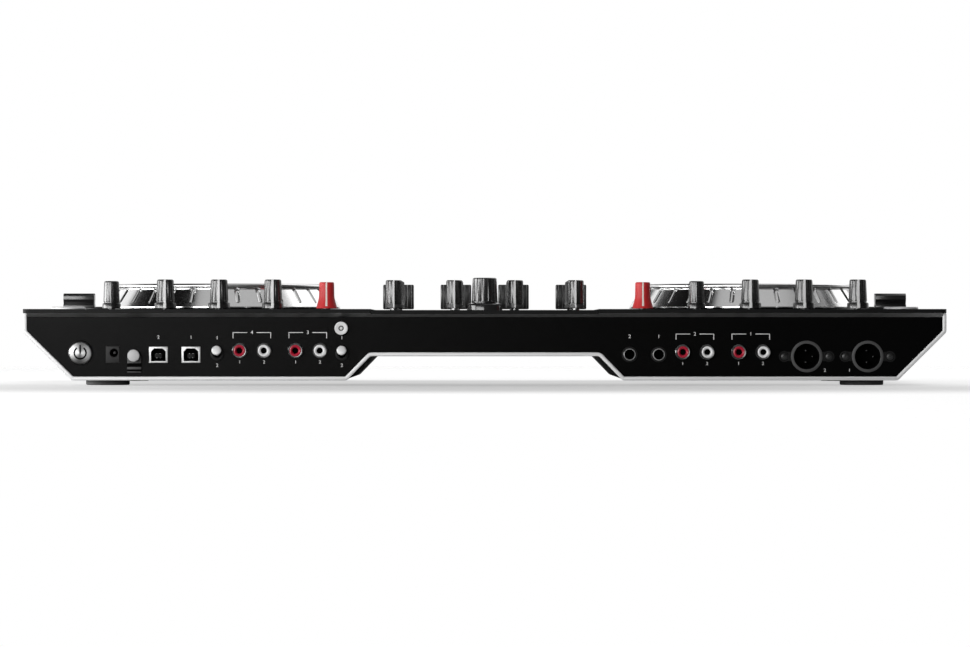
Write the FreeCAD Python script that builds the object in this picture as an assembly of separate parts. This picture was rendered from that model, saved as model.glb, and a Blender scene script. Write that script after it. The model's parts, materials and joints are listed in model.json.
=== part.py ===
"""Two-deck DJ controller with a four-channel mixer, standing on rubber feet.

Millimetres. +Z is up and the floor is at zero, +X runs along the width, and the rear panel faces -Y.
The origin is at the bottom centre of the whole object.
"""
import FreeCAD, Part
import math
import os

Vec = FreeCAD.Vector

# Case outline, seen from the rear
CASE_HALF_WIDTH = 345.3
PLATE_SIDE_OVERHANG = 0.3
PLATE_DEPTH = 366.0
PLATE_THICKNESS = 3.0
PLATE_CORNER = 6.0
DECK_TOP = 57.2
MIXER_DROP = 0.75
MIXER_HALF_WIDTH = 85.0
PLATE_GAP = 0.3
CASE_BOTTOM = 3.8
CHAMFER_TOP = 39.8
CHAMFER_RUN = 36.4
LEG_WIDTH = 205.9
TUNNEL_SLOPE = 17.5
TUNNEL_CEILING = 21.9
BEND_RADIUS = 4.0
PAN_WALL = 3.0
PAN_INSET = 0.6
OVERHANG = 3.4
BEVEL_HEIGHT = 3.3
PANEL_THICKNESS = 2.0
TRIM_WIDTH = 2.9
TRIM_PROUD = 1.2

# Clearances
RUNNING = 0.05
SLIDING = 0.3
HOLE_ROOM = 0.5

# Feet, stand-offs and screws
FOOT_RADIUS = 16.5
FOOT_REAR_INSET = 24.0
FOOT_FRONT_INSET = 18.4
FOOT_REAR_SETBACK = 42.0
FOOT_FRONT_SETBACK = 42.0
STANDOFF_RADIUS = 4.5
STANDOFF_NEAR_INSET = 22.0
STANDOFF_FAR_INSET = 46.5
STANDOFF_TUNNEL_INSET = 13.5
STANDOFF_REAR_SETBACK = 72.0
STANDOFF_FRONT_SETBACK = 26.0
SCREW_RADIUS = 1.5
SCREW_HEAD_RADIUS = 3.0
SCREW_HEAD_HEIGHT = 1.8
SCREW_LENGTH = 14.0

# Circuit boards
BOARD_DROP = 14.2
BOARD_THICKNESS = 1.6
BOARD_REAR_SETBACK = 28.0
BOARD_FRONT_SETBACK = 14.0
DECK_BOARD_SIDE_INSET = 15.3
DECK_BOARD_SEAM_INSET = 7.0
MAIN_BOARD_OVERLAP = 1.0

# Jog wheels
JOG_INSET = 139.3
JOG_BASE_RADIUS = 93.0
JOG_TOP_RADIUS = 83.5
JOG_HEIGHT = 19.8
JOG_LIP = 1.6
JOG_RIM_HEIGHT = 4.0
JOG_RECESS = 0.6
JOG_WALL = 4.0
JOG_FLOAT = 1.0
JOG_NOTCHES = 32
JOG_NOTCH_RADIUS = 2.8
JOG_NOTCH_DEPTH = 1.9
JOG_NOTCH_START = -90.0
JOG_HUB_RADIUS = 20.0
JOG_HUB_DEPTH = 6.0
JOG_DISC_THICKNESS = 6.0
POST_RADIUS = 14.0
POST_FOOT_RADIUS = 24.0
POST_FOOT_HEIGHT = 5.0
DISPLAY_RADIUS = 28.0

# Knob shafts and potentiometers
SHAFT_RADIUS = 3.0
SHAFT_INTO_KNOB = 14.0
POT_WIDTH = 10.0
POT_HEIGHT = 8.0

# Knobs, measured from the plate under them
DECK_KNOB_SETBACK = 45.0
DECK_KNOBS = 5
DECK_KNOB_INSET = 144.3
DECK_KNOB_PITCH = 40.7
DECK_KNOB_HEIGHT = 22.5
DECK_KNOB_TOP_RADIUS = 6.1
DECK_KNOB_NECK_RADIUS = 7.0
DECK_KNOB_SKIRT_RADIUS = 8.3
ENCODER_HEIGHT = 21.3
ENCODER_TOP_RADIUS = 5.6
ENCODER_NECK_RADIUS = 6.1
ENCODER_SKIRT_RADIUS = 7.0
RED_KNOB_HEIGHT = 20.5
RED_KNOB_TOP_RADIUS = 5.65
RED_KNOB_SKIRT_RADIUS = 8.0
SKIRT_HEIGHT = 4.2
GROOVE_DEPTH = 0.6
GROOVE_HEIGHT = 1.4
KNOB_FLOAT = 0.6
KNOB_EDGE = 0.5
MIXER_KNOB_PITCH = 45.9
MIXER_KNOB_SETBACK = 50.0
MIXER_KNOB_ROW_PITCH = 35.0
MIXER_KNOB_HEIGHT = 22.8
MIXER_KNOB_RADIUS = 6.5
MIXER_KNOB_FLOAT = 1.8
EQ_ROWS = 3
CHANNELS = 4
BROWSE_SETBACK = 40.0
BROWSE_HEIGHT = 24.5
BROWSE_TOP_RADIUS = 9.0
BROWSE_RING_RADIUS = 10.0
BROWSE_COLLAR_RADIUS = 9.2
BROWSE_COLLAR_HEIGHT = 4.0

# Faders
TEMPO_INSET = 27.3
TEMPO_TRAVEL = 100.0
TEMPO_CAP_WIDTH = 24.0
TEMPO_CAP_LENGTH = 15.0
TEMPO_CAP_HEIGHT = 13.0
CHANNEL_FRONT_SETBACK = 126.0
CHANNEL_TRAVEL = 60.0
CHANNEL_CAP_WIDTH = 24.5
CHANNEL_CAP_LENGTH = 12.0
CHANNEL_CAP_HEIGHT = 21.5
CROSS_FRONT_SETBACK = 44.0
CROSS_TRAVEL = 45.0
CROSS_CAP_WIDTH = 11.0
CROSS_CAP_LENGTH = 24.0
CROSS_CAP_HEIGHT = 16.0
CAP_TAPER = 2.0
CAP_WAIST = 0.45
TONGUE_THICKNESS = 1.2
TONGUE_LENGTH = 6.0
TONGUE_DROP = 8.0
TRACK_WIDTH = 13.0
TRACK_HEIGHT = 10.5
TRACK_END = 9.0

# Pads and buttons on the decks
PAD_WIDTH = 32.0
PAD_LENGTH = 25.0
PAD_PITCH_X = 37.0
PAD_PITCH_Y = 31.0
PAD_COLUMNS = 4
PAD_ROWS = 2
PAD_FRONT_SETBACK = 52.0
PAD_PROUD = 2.0
PAD_CORNER = 3.0
PAD_WEB = 2.0
PAD_WEB_MARGIN = 4.0
PAD_TRAVEL = 0.8
PAD_PLUNGER_RADIUS = 4.0
RESET_SETBACK = 78.0
RESET_RADIUS = 12.0
RESET_PROUD = 2.0
TRANSPORT_INSET = 30.3
TRANSPORT_FRONT_SETBACK = 60.0
TRANSPORT_PITCH = 38.0
TRANSPORT_RADIUS = 12.5
TRANSPORT_PROUD = 3.0
BUTTON_TRAVEL = 1.2
BUTTON_FLANGE = 1.2
BUTTON_FLANGE_THICKNESS = 1.5
BUTTON_STEM_RADIUS = 3.0
BUTTON_STEM_LENGTH = 5.0
BUTTON_EDGE = 0.8
SWITCH_WIDTH = 6.0

# Connectors: insets run along the wall from the nearer side of the case, z is above the floor
POWER_INSET = 43.0
POWER_Z = 24.4
POWER_RADIUS = 8.6
POWER_BEZEL = 0.7
POWER_BEZEL_PROUD = 1.0
POWER_BUTTON_PROUD = 2.4
POWER_TRAVEL = 1.8
POWER_DEPTH = 14.0
DC_INSET = 67.2
DC_Z = 23.2
DC_WIDTH = 10.5
DC_HEIGHT = 12.7
DC_DEPTH = 13.0
DC_HOLE_RADIUS = 3.0
DC_HOLE_OFFSET = 1.2
DC_HOLE_SHIFT = 1.0
DC_HOLE_DEPTH = 9.5
DC_PIN_RADIUS = 1.0
HOOK_INSET = 83.4
HOOK_Z = 22.4
HOOK_RADIUS = 4.5
HOOK_REACH = 11.0
HOOK_BASE_WIDTH = 10.7
HOOK_BASE_BOTTOM = 9.5
HOOK_BASE_PROUD = 2.5
HOOK_SLOT = 1.6
USB_INSET = 113.5
USB_SPACING = 24.4
USB_Z = 23.0
USB_WIDTH = 14.2
USB_HEIGHT = 12.3
USB_PROUD = 0.5
USB_DEPTH = 16.0
USB_MOUTH_WIDTH = 10.2
USB_MOUTH_HEIGHT = 9.0
USB_MOUTH_DEPTH = 11.5
USB_TONGUE_WIDTH = 5.6
USB_TONGUE_HEIGHT = 3.2
USB_TONGUE_LENGTH = 6.5
TOGGLE_LEFT_INSET = 145.2
TOGGLE_RIGHT_INSET = 238.5
TOGGLE_PIVOT_Z = 23.6
TOGGLE_BALL_RADIUS = 3.6
TOGGLE_STALK_RADIUS = 1.3
TOGGLE_PIVOT_RADIUS = 1.9
TOGGLE_LENGTH = 10.5
TOGGLE_TILT = 12.0
TOGGLE_BUSH_RADIUS = 5.0
TOGGLE_BUSH_PROUD = 2.0
TOGGLE_SLOT_HALF = 3.0
TOGGLE_BODY = 12.0
RCA_LEFT_Z = 26.1
RCA_RIGHT_Z = 25.0
RCA_LEFT_FIRST_INSET = 162.1
RCA_RIGHT_FIRST_INSET = 197.2
RCA_SPACING = 18.2
RCA_PAIR_SPACING = 41.8
RCA_RADIUS = 5.0
RCA_REACH = 7.0
RCA_MOUTH_RADIUS = 2.6
RCA_BORE_RADIUS = 1.7
RCA_MOUTH_DEPTH = 1.2
RCA_BORE_LENGTH = 9.0
RCA_BODY = 13.0
GROUND_INSET = 238.1
GROUND_DROP = 14.4
GROUND_RADIUS = 4.95
GROUND_HEAD = 6.0
GROUND_SHANK_RADIUS = 2.0
GROUND_SHANK_LENGTH = 10.0
GROUND_BOSS_RADIUS = 4.5
GROUND_BOSS_LENGTH = 6.0
MIC_INSET = 226.0
MIC_SPACING = 21.8
MIC_Z = 23.2
JACK_BORE_RADIUS = 3.25
JACK_BORE_LENGTH = 22.0
JACK_RIM_RADIUS = 4.8
JACK_PROUD = 0.8
JACK_BODY = 15.0
JACK_DEPTH = 26.0
XLR_INSET = 81.7
XLR_SPACING = 45.6
XLR_Z = 21.7
XLR_RADIUS = 11.9
XLR_WELL_RADIUS = 9.1
XLR_WELL_DEPTH = 14.5
XLR_MOUTH_RADIUS = 9.5
XLR_MOUTH_DEPTH = 4.2
XLR_DEPTH = 20.0
XLR_PROUD = 1.2
XLR_PIN_RADIUS = 1.2
XLR_PIN_CIRCLE = 4.4
XLR_PIN_SPREAD = 97.0
XLR_PIN_LENGTH = 10.0
XLR_FLANGE_HEIGHT = 15.0
XLR_FLANGE_THICKNESS = 2.0
XLR_SCREW_OFFSET = 16.7
XLR_SCREW_HEAD = 2.7
XLR_SCREW_HEAD_HEIGHT = 1.5
XLR_SCREW_RADIUS = 1.3
XLR_SCREW_MARGIN = 3.6
PHONES_INSET = 109.3
PHONES_SPACING = 24.0
PHONES_Z = 25.0
MINI_BORE_RADIUS = 1.8
MINI_RIM_RADIUS = 3.4

# Widths that follow from the case's half width
plate_half_width = CASE_HALF_WIDTH + PLATE_SIDE_OVERHANG
flat_half_width = CASE_HALF_WIDTH - CHAMFER_RUN
leg_inner = flat_half_width - LEG_WIDTH
tunnel_half_width = leg_inner - TUNNEL_SLOPE
panel_half_width = CASE_HALF_WIDTH - TRIM_WIDTH
jog_x = CASE_HALF_WIDTH - JOG_INSET
knob_row_x = CASE_HALF_WIDTH - DECK_KNOB_INSET
tempo_x = CASE_HALF_WIDTH - TEMPO_INSET
transport_x = CASE_HALF_WIDTH - TRANSPORT_INSET
power_x = POWER_INSET - CASE_HALF_WIDTH
dc_x = DC_INSET - CASE_HALF_WIDTH
hook_x = HOOK_INSET - CASE_HALF_WIDTH
ground_x = GROUND_INSET - CASE_HALF_WIDTH
toggle_xs = (TOGGLE_LEFT_INSET - CASE_HALF_WIDTH, TOGGLE_RIGHT_INSET - CASE_HALF_WIDTH)

# Levels and planes that follow from the sizes above
deck_under = DECK_TOP - PLATE_THICKNESS
mixer_top = DECK_TOP - MIXER_DROP
mixer_under = mixer_top - PLATE_THICKNESS
board_bottom = deck_under - BOARD_DROP
board_top = board_bottom + BOARD_THICKNESS
ground_z = DECK_TOP - GROUND_DROP
band_bottom = deck_under - BEVEL_HEIGHT
pan_bottom = CASE_BOTTOM + PAN_INSET
pan_floor = pan_bottom + PAN_WALL
tunnel_floor = TUNNEL_CEILING + PAN_INSET + PAN_WALL
toggle_reach = TOGGLE_LENGTH * math.cos(math.radians(TOGGLE_TILT)) + TOGGLE_BALL_RADIUS - PANEL_THICKNESS
ground_reach = SLIDING + GROUND_HEAD
longest_reach = max(toggle_reach, ground_reach, HOOK_REACH, RCA_REACH)
total_depth = PLATE_DEPTH + longest_reach - OVERHANG
front_edge = total_depth / 2
rear_edge = front_edge - PLATE_DEPTH
panel_face = rear_edge + OVERHANG
panel_back = panel_face + PANEL_THICKNESS
wall_face = front_edge - OVERHANG
wall_back = wall_face - PAN_WALL
knob_row_y = rear_edge + DECK_KNOB_SETBACK
pad_rear = front_edge - PAD_FRONT_SETBACK - (PAD_ROWS - 1) * PAD_PITCH_Y - PAD_LENGTH / 2
jog_y = (knob_row_y + DECK_KNOB_SKIRT_RADIUS + pad_rear) / 2
reset_y = rear_edge + RESET_SETBACK
play_y = front_edge - TRANSPORT_FRONT_SETBACK
cue_y = play_y - TRANSPORT_PITCH
tempo_y = (reset_y + RESET_RADIUS + cue_y - TRANSPORT_RADIUS) / 2
channel_y = front_edge - CHANNEL_FRONT_SETBACK
cross_y = front_edge - CROSS_FRONT_SETBACK
SIDES = {"left": -1, "right": 1}


def box(x, y, z):
    """A block between the given pairs of limits."""
    corner = Vec(min(x), min(y), min(z))
    return Part.makeBox(max(x) - min(x), max(y) - min(y), max(z) - min(z), corner)


def centred_box(x, y, size_x, size_y, z):
    """An upright block centred on x and y, between two heights."""
    return box((x - size_x / 2, x + size_x / 2), (y - size_y / 2, y + size_y / 2), z)


def post(radius, x, y, z):
    """An upright round bar between two heights."""
    return Part.makeCylinder(radius, max(z) - min(z), Vec(x, y, min(z)), Vec(0, 0, 1))


def rod(radius, x, z, y):
    """A round bar along the depth, between two planes."""
    return Part.makeCylinder(radius, max(y) - min(y), Vec(x, min(y), z), Vec(0, 1, 0))


def turned(profile, x, y):
    """A solid turned about an upright axis from (radius, height) points."""
    points = [Vec(x + radius, y, height) for radius, height in profile]
    face = Part.Face(Part.makePolygon(points + points[:1]))
    return face.revolve(Vec(x, y, 0), Vec(0, 0, 1), 360)


def rounded_wire(corners, radius):
    """A closed wire through the corners, with a tangent arc of the radius at each of them."""
    ends = []
    edges = []
    for index, corner in enumerate(corners):
        before = (corners[index - 1] - corner).normalize()
        after = (corners[(index + 1) % len(corners)] - corner).normalize()
        half_angle = before.getAngle(after) / 2
        setback = radius / math.tan(half_angle)
        middle = corner + (before + after).normalize() * (radius / math.sin(half_angle) - radius)
        ends.append((corner + before * setback, corner + after * setback))
        edges.append(Part.Arc(ends[-1][0], middle, ends[-1][1]).toShape())
    for index in range(len(corners)):
        edges.append(Part.LineSegment(ends[index - 1][1], ends[index][0]).toShape())
    return Part.Wire(Part.__sortEdges__(edges))


def rounded_block(x, y, z, radius):
    """A block whose upright edges are rounded."""
    turns = [(x[0], y[0]), (x[1], y[0]), (x[1], y[1]), (x[0], y[1])]
    corners = [Vec(turn_x, turn_y, z[0]) for turn_x, turn_y in turns]
    return Part.Face(rounded_wire(corners, radius)).extrude(Vec(0, 0, z[1] - z[0]))


def save(name, *solids):
    """Write one node."""
    Part.makeCompound(list(solids)).exportStep("parts/" + name + ".step")


def case_section(inset, y):
    """The case outline seen from the rear, drawn inwards by the inset and extruded between two planes."""
    half = [
        (CASE_HALF_WIDTH, deck_under),
        (CASE_HALF_WIDTH, CHAMFER_TOP),
        (flat_half_width, CASE_BOTTOM),
        (leg_inner, CASE_BOTTOM),
        (tunnel_half_width, TUNNEL_CEILING),
    ]
    outline = half + [(-x, z) for x, z in reversed(half)]
    wire = rounded_wire([Vec(x, min(y), z) for x, z in outline], BEND_RADIUS)
    if inset > 0:
        wire = wire.makeOffset2D(-inset)
    section = Part.Face(wire).extrude(Vec(0, max(y) - min(y), 0))
    side = CASE_HALF_WIDTH - inset
    return section.fuse(box((-side, side), y, (CHAMFER_TOP + BEND_RADIUS, deck_under)))


def setback(distance):
    """The plane at a distance in front of the plates' rear edge."""
    return rear_edge + distance


def mixer_columns():
    """The x of each mixer channel, from left to right."""
    middle = (CHANNELS - 1) / 2
    return [(index - middle) * MIXER_KNOB_PITCH for index in range(CHANNELS)]


def deck_knob_x(index):
    """Distance from the centre of a knob in a deck's rear row, counted outwards."""
    return knob_row_x + (index - (DECK_KNOBS - 1) / 2) * DECK_KNOB_PITCH


def pad_centres(sign):
    """Centres of one deck's pads."""
    for row in range(PAD_ROWS):
        for column in range(PAD_COLUMNS):
            shift = (column - (PAD_COLUMNS - 1) / 2) * PAD_PITCH_X
            yield sign * jog_x + shift, front_edge - PAD_FRONT_SETBACK - row * PAD_PITCH_Y


def deck_buttons(sign):
    """Centre, radius and height of one deck's round buttons: tempo reset, cue and play."""
    yield sign * tempo_x, reset_y, RESET_RADIUS, RESET_PROUD
    for place in (cue_y, play_y):
        yield sign * transport_x, place, TRANSPORT_RADIUS, TRANSPORT_PROUD


def slot(x, y, travel, along_x, z):
    """The slot that a fader's tongue runs in."""
    length = travel + TONGUE_LENGTH + 2 * SLIDING
    width = TONGUE_THICKNESS + 2 * SLIDING
    if along_x:
        return centred_box(x, y, length, width, z)
    return centred_box(x, y, width, length, z)


def fader_places():
    """Place, travel, direction and plate level of each fader."""
    for sign in SIDES.values():
        yield sign * tempo_x, tempo_y, TEMPO_TRAVEL, False, DECK_TOP
    for x in mixer_columns():
        yield x, channel_y, CHANNEL_TRAVEL, False, mixer_top
    yield 0, cross_y, CROSS_TRAVEL, True, mixer_top


def knob_places():
    """Place and plate level of every knob, in order: decks, mixer rows, browse knob."""
    for sign in SIDES.values():
        for index in range(DECK_KNOBS):
            yield sign * deck_knob_x(index), knob_row_y, DECK_TOP
    for row in range(EQ_ROWS + 1):
        for x in mixer_columns():
            yield x, setback(MIXER_KNOB_SETBACK + row * MIXER_KNOB_ROW_PITCH), mixer_top
    yield 0, setback(BROWSE_SETBACK), mixer_top


def knob_holes():
    """Round holes in the plates for the knobs' shafts."""
    z = (mixer_under - 1, DECK_TOP + 1)
    return [post(SHAFT_RADIUS + HOLE_ROOM, x, y, z) for x, y, level in knob_places()]


def deck_plates():
    """The two deck plates, with their cut-outs."""
    z = (deck_under, DECK_TOP)
    through = (deck_under - 1, DECK_TOP + 1)
    for side, sign in SIDES.items():
        limits = sorted((sign * (MIXER_HALF_WIDTH + PLATE_GAP), sign * plate_half_width))
        plate = rounded_block(limits, (rear_edge, front_edge), z, PLATE_CORNER)
        seam = sign * (MIXER_HALF_WIDTH + PLATE_GAP)
        inner = (seam, seam + sign * 2 * PLATE_CORNER)
        plate = plate.fuse(box(inner, (rear_edge, front_edge), z)).removeSplitter()
        cuts = knob_holes()
        post_room = POST_RADIUS + JOG_WALL + 2 * HOLE_ROOM
        cuts.append(post(post_room, sign * jog_x, jog_y, through))
        cuts.append(slot(sign * tempo_x, tempo_y, TEMPO_TRAVEL, False, through))
        for x, y, radius, proud in deck_buttons(sign):
            cuts.append(post(radius + SLIDING, x, y, through))
        for x, y in pad_centres(sign):
            cuts.append(pad_block(x, y, SLIDING, through))
        save(side + "_deck_plate", plate.cut(cuts))


def pad_block(x, y, room, z):
    """One pad's block, or the window that leaves it the given room."""
    half_x = PAD_WIDTH / 2 + room
    half_y = PAD_LENGTH / 2 + room
    return rounded_block((x - half_x, x + half_x), (y - half_y, y + half_y), z, PAD_CORNER + room)


def mixer_plate():
    """The plate between the decks, a little lower than they are."""
    through = (mixer_under - 1, mixer_top + 1)
    plate = box((-MIXER_HALF_WIDTH, MIXER_HALF_WIDTH), (rear_edge, front_edge), (mixer_under, mixer_top))
    cuts = knob_holes()
    for x in mixer_columns():
        cuts.append(slot(x, channel_y, CHANNEL_TRAVEL, False, through))
    cuts.append(slot(0, cross_y, CROSS_TRAVEL, True, through))
    save("mixer_plate", plate.cut(cuts))


def standoff_places():
    """Place and foot level of the spacers that carry the boards."""
    for y in (setback(STANDOFF_REAR_SETBACK), front_edge - STANDOFF_FRONT_SETBACK):
        for sign in SIDES.values():
            yield sign * (leg_inner + STANDOFF_NEAR_INSET), y, pan_floor
            yield sign * (flat_half_width - STANDOFF_FAR_INSET), y, pan_floor
            yield sign * (tunnel_half_width - STANDOFF_TUNNEL_INSET), y, tunnel_floor


def bottom_pan():
    """The black pan, bent from one sheet: sides, slopes, floor and raised tunnel."""
    span = (panel_back, wall_back)
    pan = case_section(PAN_INSET, span).cut(case_section(PAN_INSET + PAN_WALL, span))
    save("bottom_pan", pan.cut([screw(x, y, foot, SLIDING, RUNNING) for x, y, foot in standoff_places()]))


def front_wall():
    """The wall that closes the case in front, with the headphone jacks' holes."""
    span = (wall_back, wall_face)
    wall = case_section(PAN_INSET, span)
    mixer_room = MIXER_HALF_WIDTH + PLATE_GAP
    cuts = [box((-mixer_room, mixer_room), span, (mixer_under, DECK_TOP))]
    for x, rim, bore in headphone_places():
        cuts.append(rod(rim, x, PHONES_Z, span))
    save("front_wall", wall.cut(cuts))


def standoffs():
    """Round spacers between the pan and the boards, tapped for the case screws."""
    spacers = []
    for x, y, foot in standoff_places():
        spacer = post(STANDOFF_RADIUS, x, y, (foot, board_bottom))
        spacers.append(spacer.cut(screw(x, y, foot, SLIDING, RUNNING)))
    save("board_standoffs", *spacers)


def screw(x, y, foot, head_room, shank_room):
    """A case screw under a spacer, or the hole that leaves it room."""
    under = foot - PAN_WALL
    seat = under + SCREW_HEAD_HEIGHT
    head = post(SCREW_HEAD_RADIUS + head_room, x, y, (under, seat))
    return head.fuse(post(SCREW_RADIUS + shank_room, x, y, (seat, seat + SCREW_LENGTH)))


def edge_trim():
    """The silver rim around the rear panel's sides and bottom, up to the plates."""
    span = (panel_face - TRIM_PROUD, panel_back)
    save("edge_trim", case_section(0, span).cut(case_section(TRIM_WIDTH, span)))


def rear_panel():
    """The black panel with its connector holes and the sloping band under the plates."""
    span = (panel_face, panel_back)
    lower = case_section(TRIM_WIDTH, span)
    lower = lower.common(box((-panel_half_width, panel_half_width), span, (0, band_bottom)))
    band_profile = [
        Vec(-panel_half_width, panel_back, band_bottom),
        Vec(-panel_half_width, panel_face, band_bottom),
        Vec(-panel_half_width, rear_edge, deck_under),
        Vec(-panel_half_width, panel_back, deck_under),
    ]
    band_end = Part.Face(Part.makePolygon(band_profile + band_profile[:1]))
    band = band_end.extrude(Vec(2 * panel_half_width, 0, 0))
    boss = rod(GROUND_BOSS_RADIUS, ground_x, ground_z, (panel_back, panel_back + GROUND_BOSS_LENGTH))
    panel = lower.fuse([band, boss]).removeSplitter()
    through = (panel_face - 1, panel_back + GROUND_BOSS_LENGTH + 1)
    mixer_room = MIXER_HALF_WIDTH + PLATE_GAP
    cuts = [box((-mixer_room, mixer_room), (rear_edge, panel_back), (mixer_under, DECK_TOP))]
    cuts.append(rod(POWER_RADIUS + SLIDING + POWER_BEZEL, power_x, POWER_Z, through))
    cuts.append(facing_block(dc_x, DC_Z, DC_WIDTH, DC_HEIGHT, through))
    for x in usb_places():
        cuts.append(facing_block(x, USB_Z, USB_WIDTH, USB_HEIGHT, through))
    for x in toggle_xs:
        cuts.append(rod(TOGGLE_BUSH_RADIUS, x, TOGGLE_PIVOT_Z, through))
    for x, z in rca_places():
        cuts.append(rod(RCA_RADIUS, x, z, through))
    for x in mic_places():
        cuts.append(rod(JACK_RIM_RADIUS, x, MIC_Z, through))
    for x in xlr_places():
        cuts.append(rod(XLR_RADIUS, x, XLR_Z, through))
    for x in xlr_screw_places():
        cuts.append(rod(XLR_SCREW_RADIUS + RUNNING, x, XLR_Z, through))
    cuts.append(rod(GROUND_SHANK_RADIUS + RUNNING, ground_x, ground_z, through))
    save("rear_panel", panel.cut(cuts))


def facing_block(x, z, width, height, y):
    """A block centred on a point of the rear panel, between two planes."""
    return box((x - width / 2, x + width / 2), y, (z - height / 2, z + height / 2))


def pair(middle, spacing):
    """Two places about a middle."""
    return (middle - spacing / 2, middle + spacing / 2)


def usb_places():
    return pair(USB_INSET - CASE_HALF_WIDTH, USB_SPACING)


def mic_places():
    return pair(CASE_HALF_WIDTH - MIC_INSET, MIC_SPACING)


def xlr_places():
    return pair(CASE_HALF_WIDTH - XLR_INSET, XLR_SPACING)


def xlr_screw_places():
    return [x + offset for x in xlr_places() for offset in (-XLR_SCREW_OFFSET, XLR_SCREW_OFFSET)]


def rca_places():
    """The x and z of each phono socket, from left to right."""
    left = RCA_LEFT_FIRST_INSET - CASE_HALF_WIDTH
    right = CASE_HALF_WIDTH - RCA_RIGHT_FIRST_INSET
    for first, z in ((left, RCA_LEFT_Z), (right, RCA_RIGHT_Z)):
        for start in (first, first + RCA_PAIR_SPACING):
            yield start, z
            yield start + RCA_SPACING, z


def headphone_places():
    """The x, rim radius and bore radius of the two headphone jacks in the front wall."""
    large, small = pair(PHONES_INSET - CASE_HALF_WIDTH, PHONES_SPACING)
    yield large, JACK_RIM_RADIUS, JACK_BORE_RADIUS
    yield small, MINI_RIM_RADIUS, MINI_BORE_RADIUS


def feet():
    """Four round rubber feet under the pan."""
    rear = setback(FOOT_REAR_SETBACK)
    front = front_edge - FOOT_FRONT_SETBACK
    rear_x = flat_half_width - FOOT_REAR_INSET
    front_x = flat_half_width - FOOT_FRONT_INSET
    places = [(sign * rear_x, rear) for sign in SIDES.values()]
    places += [(sign * front_x, front) for sign in SIDES.values()]
    save("rubber_feet", *[post(FOOT_RADIUS, x, y, (0, pan_bottom)) for x, y in places])


def boards():
    """The mixer's main board and the two deck boards, resting on the spacers."""
    y = (setback(BOARD_REAR_SETBACK), wall_back - BOARD_FRONT_SETBACK)
    z = (board_bottom, board_top)
    decks = []
    for sign in SIDES.values():
        inner = sign * (MIXER_HALF_WIDTH + DECK_BOARD_SEAM_INSET)
        board = box((inner, sign * (CASE_HALF_WIDTH - DECK_BOARD_SIDE_INSET)), y, z)
        hole = post(POST_RADIUS + 2 * HOLE_ROOM, sign * jog_x, jog_y, (0, DECK_TOP))
        decks.append(board.cut(hole))
    half = MIXER_HALF_WIDTH + MAIN_BOARD_OVERLAP
    save("circuit_boards", box((-half, half), y, z), *decks)


def jog_levels():
    """The jog wheel's lowest edge, hub floor, seat of the display and top."""
    base = DECK_TOP + JOG_FLOAT
    top = DECK_TOP + JOG_HEIGHT
    seat = top - JOG_RECESS - JOG_DISC_THICKNESS
    return base, seat - JOG_HUB_DEPTH, seat, top


def jog_wheels():
    """The jog wheels: notched conical rim, round top ring, disc and hub on a fixed post."""
    base, hub_floor, seat, top = jog_levels()
    disc_top = top - JOG_RECESS
    ring_start = top - JOG_RIM_HEIGHT
    ring = JOG_RIM_HEIGHT / 4
    hub_bore = POST_RADIUS + RUNNING
    hole = DISPLAY_RADIUS + SLIDING
    profile = [
        (hub_bore, hub_floor),
        (JOG_HUB_RADIUS, hub_floor),
        (JOG_HUB_RADIUS, seat - JOG_WALL),
        (JOG_TOP_RADIUS - JOG_WALL, seat - JOG_WALL),
        (JOG_BASE_RADIUS - JOG_WALL, base),
        (JOG_BASE_RADIUS, base),
        (JOG_BASE_RADIUS, base + JOG_LIP),
        (JOG_TOP_RADIUS, ring_start),
        (JOG_TOP_RADIUS + ring, ring_start + ring),
        (JOG_TOP_RADIUS + ring, top - ring),
        (JOG_TOP_RADIUS, top),
        (JOG_TOP_RADIUS - 2 * ring, top),
        (JOG_TOP_RADIUS - 3 * ring, disc_top),
        (hole, disc_top),
        (hole, seat),
        (hub_bore, seat),
    ]
    slope_run = JOG_BASE_RADIUS - JOG_TOP_RADIUS
    slope_rise = ring_start - base - JOG_LIP
    slope_length = math.hypot(slope_run, slope_rise)
    up_slope = Vec(-slope_run / slope_length, 0, slope_rise / slope_length)
    outward = Vec(up_slope.z, 0, -up_slope.x)
    for side, sign in SIDES.items():
        centre = Vec(sign * jog_x, jog_y, 0)
        wheel = turned(profile, centre.x, centre.y)
        start = centre + Vec(JOG_BASE_RADIUS, 0, base + JOG_LIP)
        sunk = start + outward * (JOG_NOTCH_RADIUS - JOG_NOTCH_DEPTH)
        first = sunk + up_slope * (slope_length * 0.36)
        notch = Part.makeCylinder(JOG_NOTCH_RADIUS, slope_length, first, up_slope)
        notches = []
        for index in range(JOG_NOTCHES):
            copy = notch.copy()
            copy.rotate(centre, Vec(0, 0, 1), JOG_NOTCH_START + index * 360 / JOG_NOTCHES)
            notches.append(copy)
        ring_space = post(2 * JOG_BASE_RADIUS, centre.x, centre.y, (ring_start, 2 * top))
        save(side + "_jog_wheel", wheel.cut([cutter.cut(ring_space) for cutter in notches]))


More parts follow.
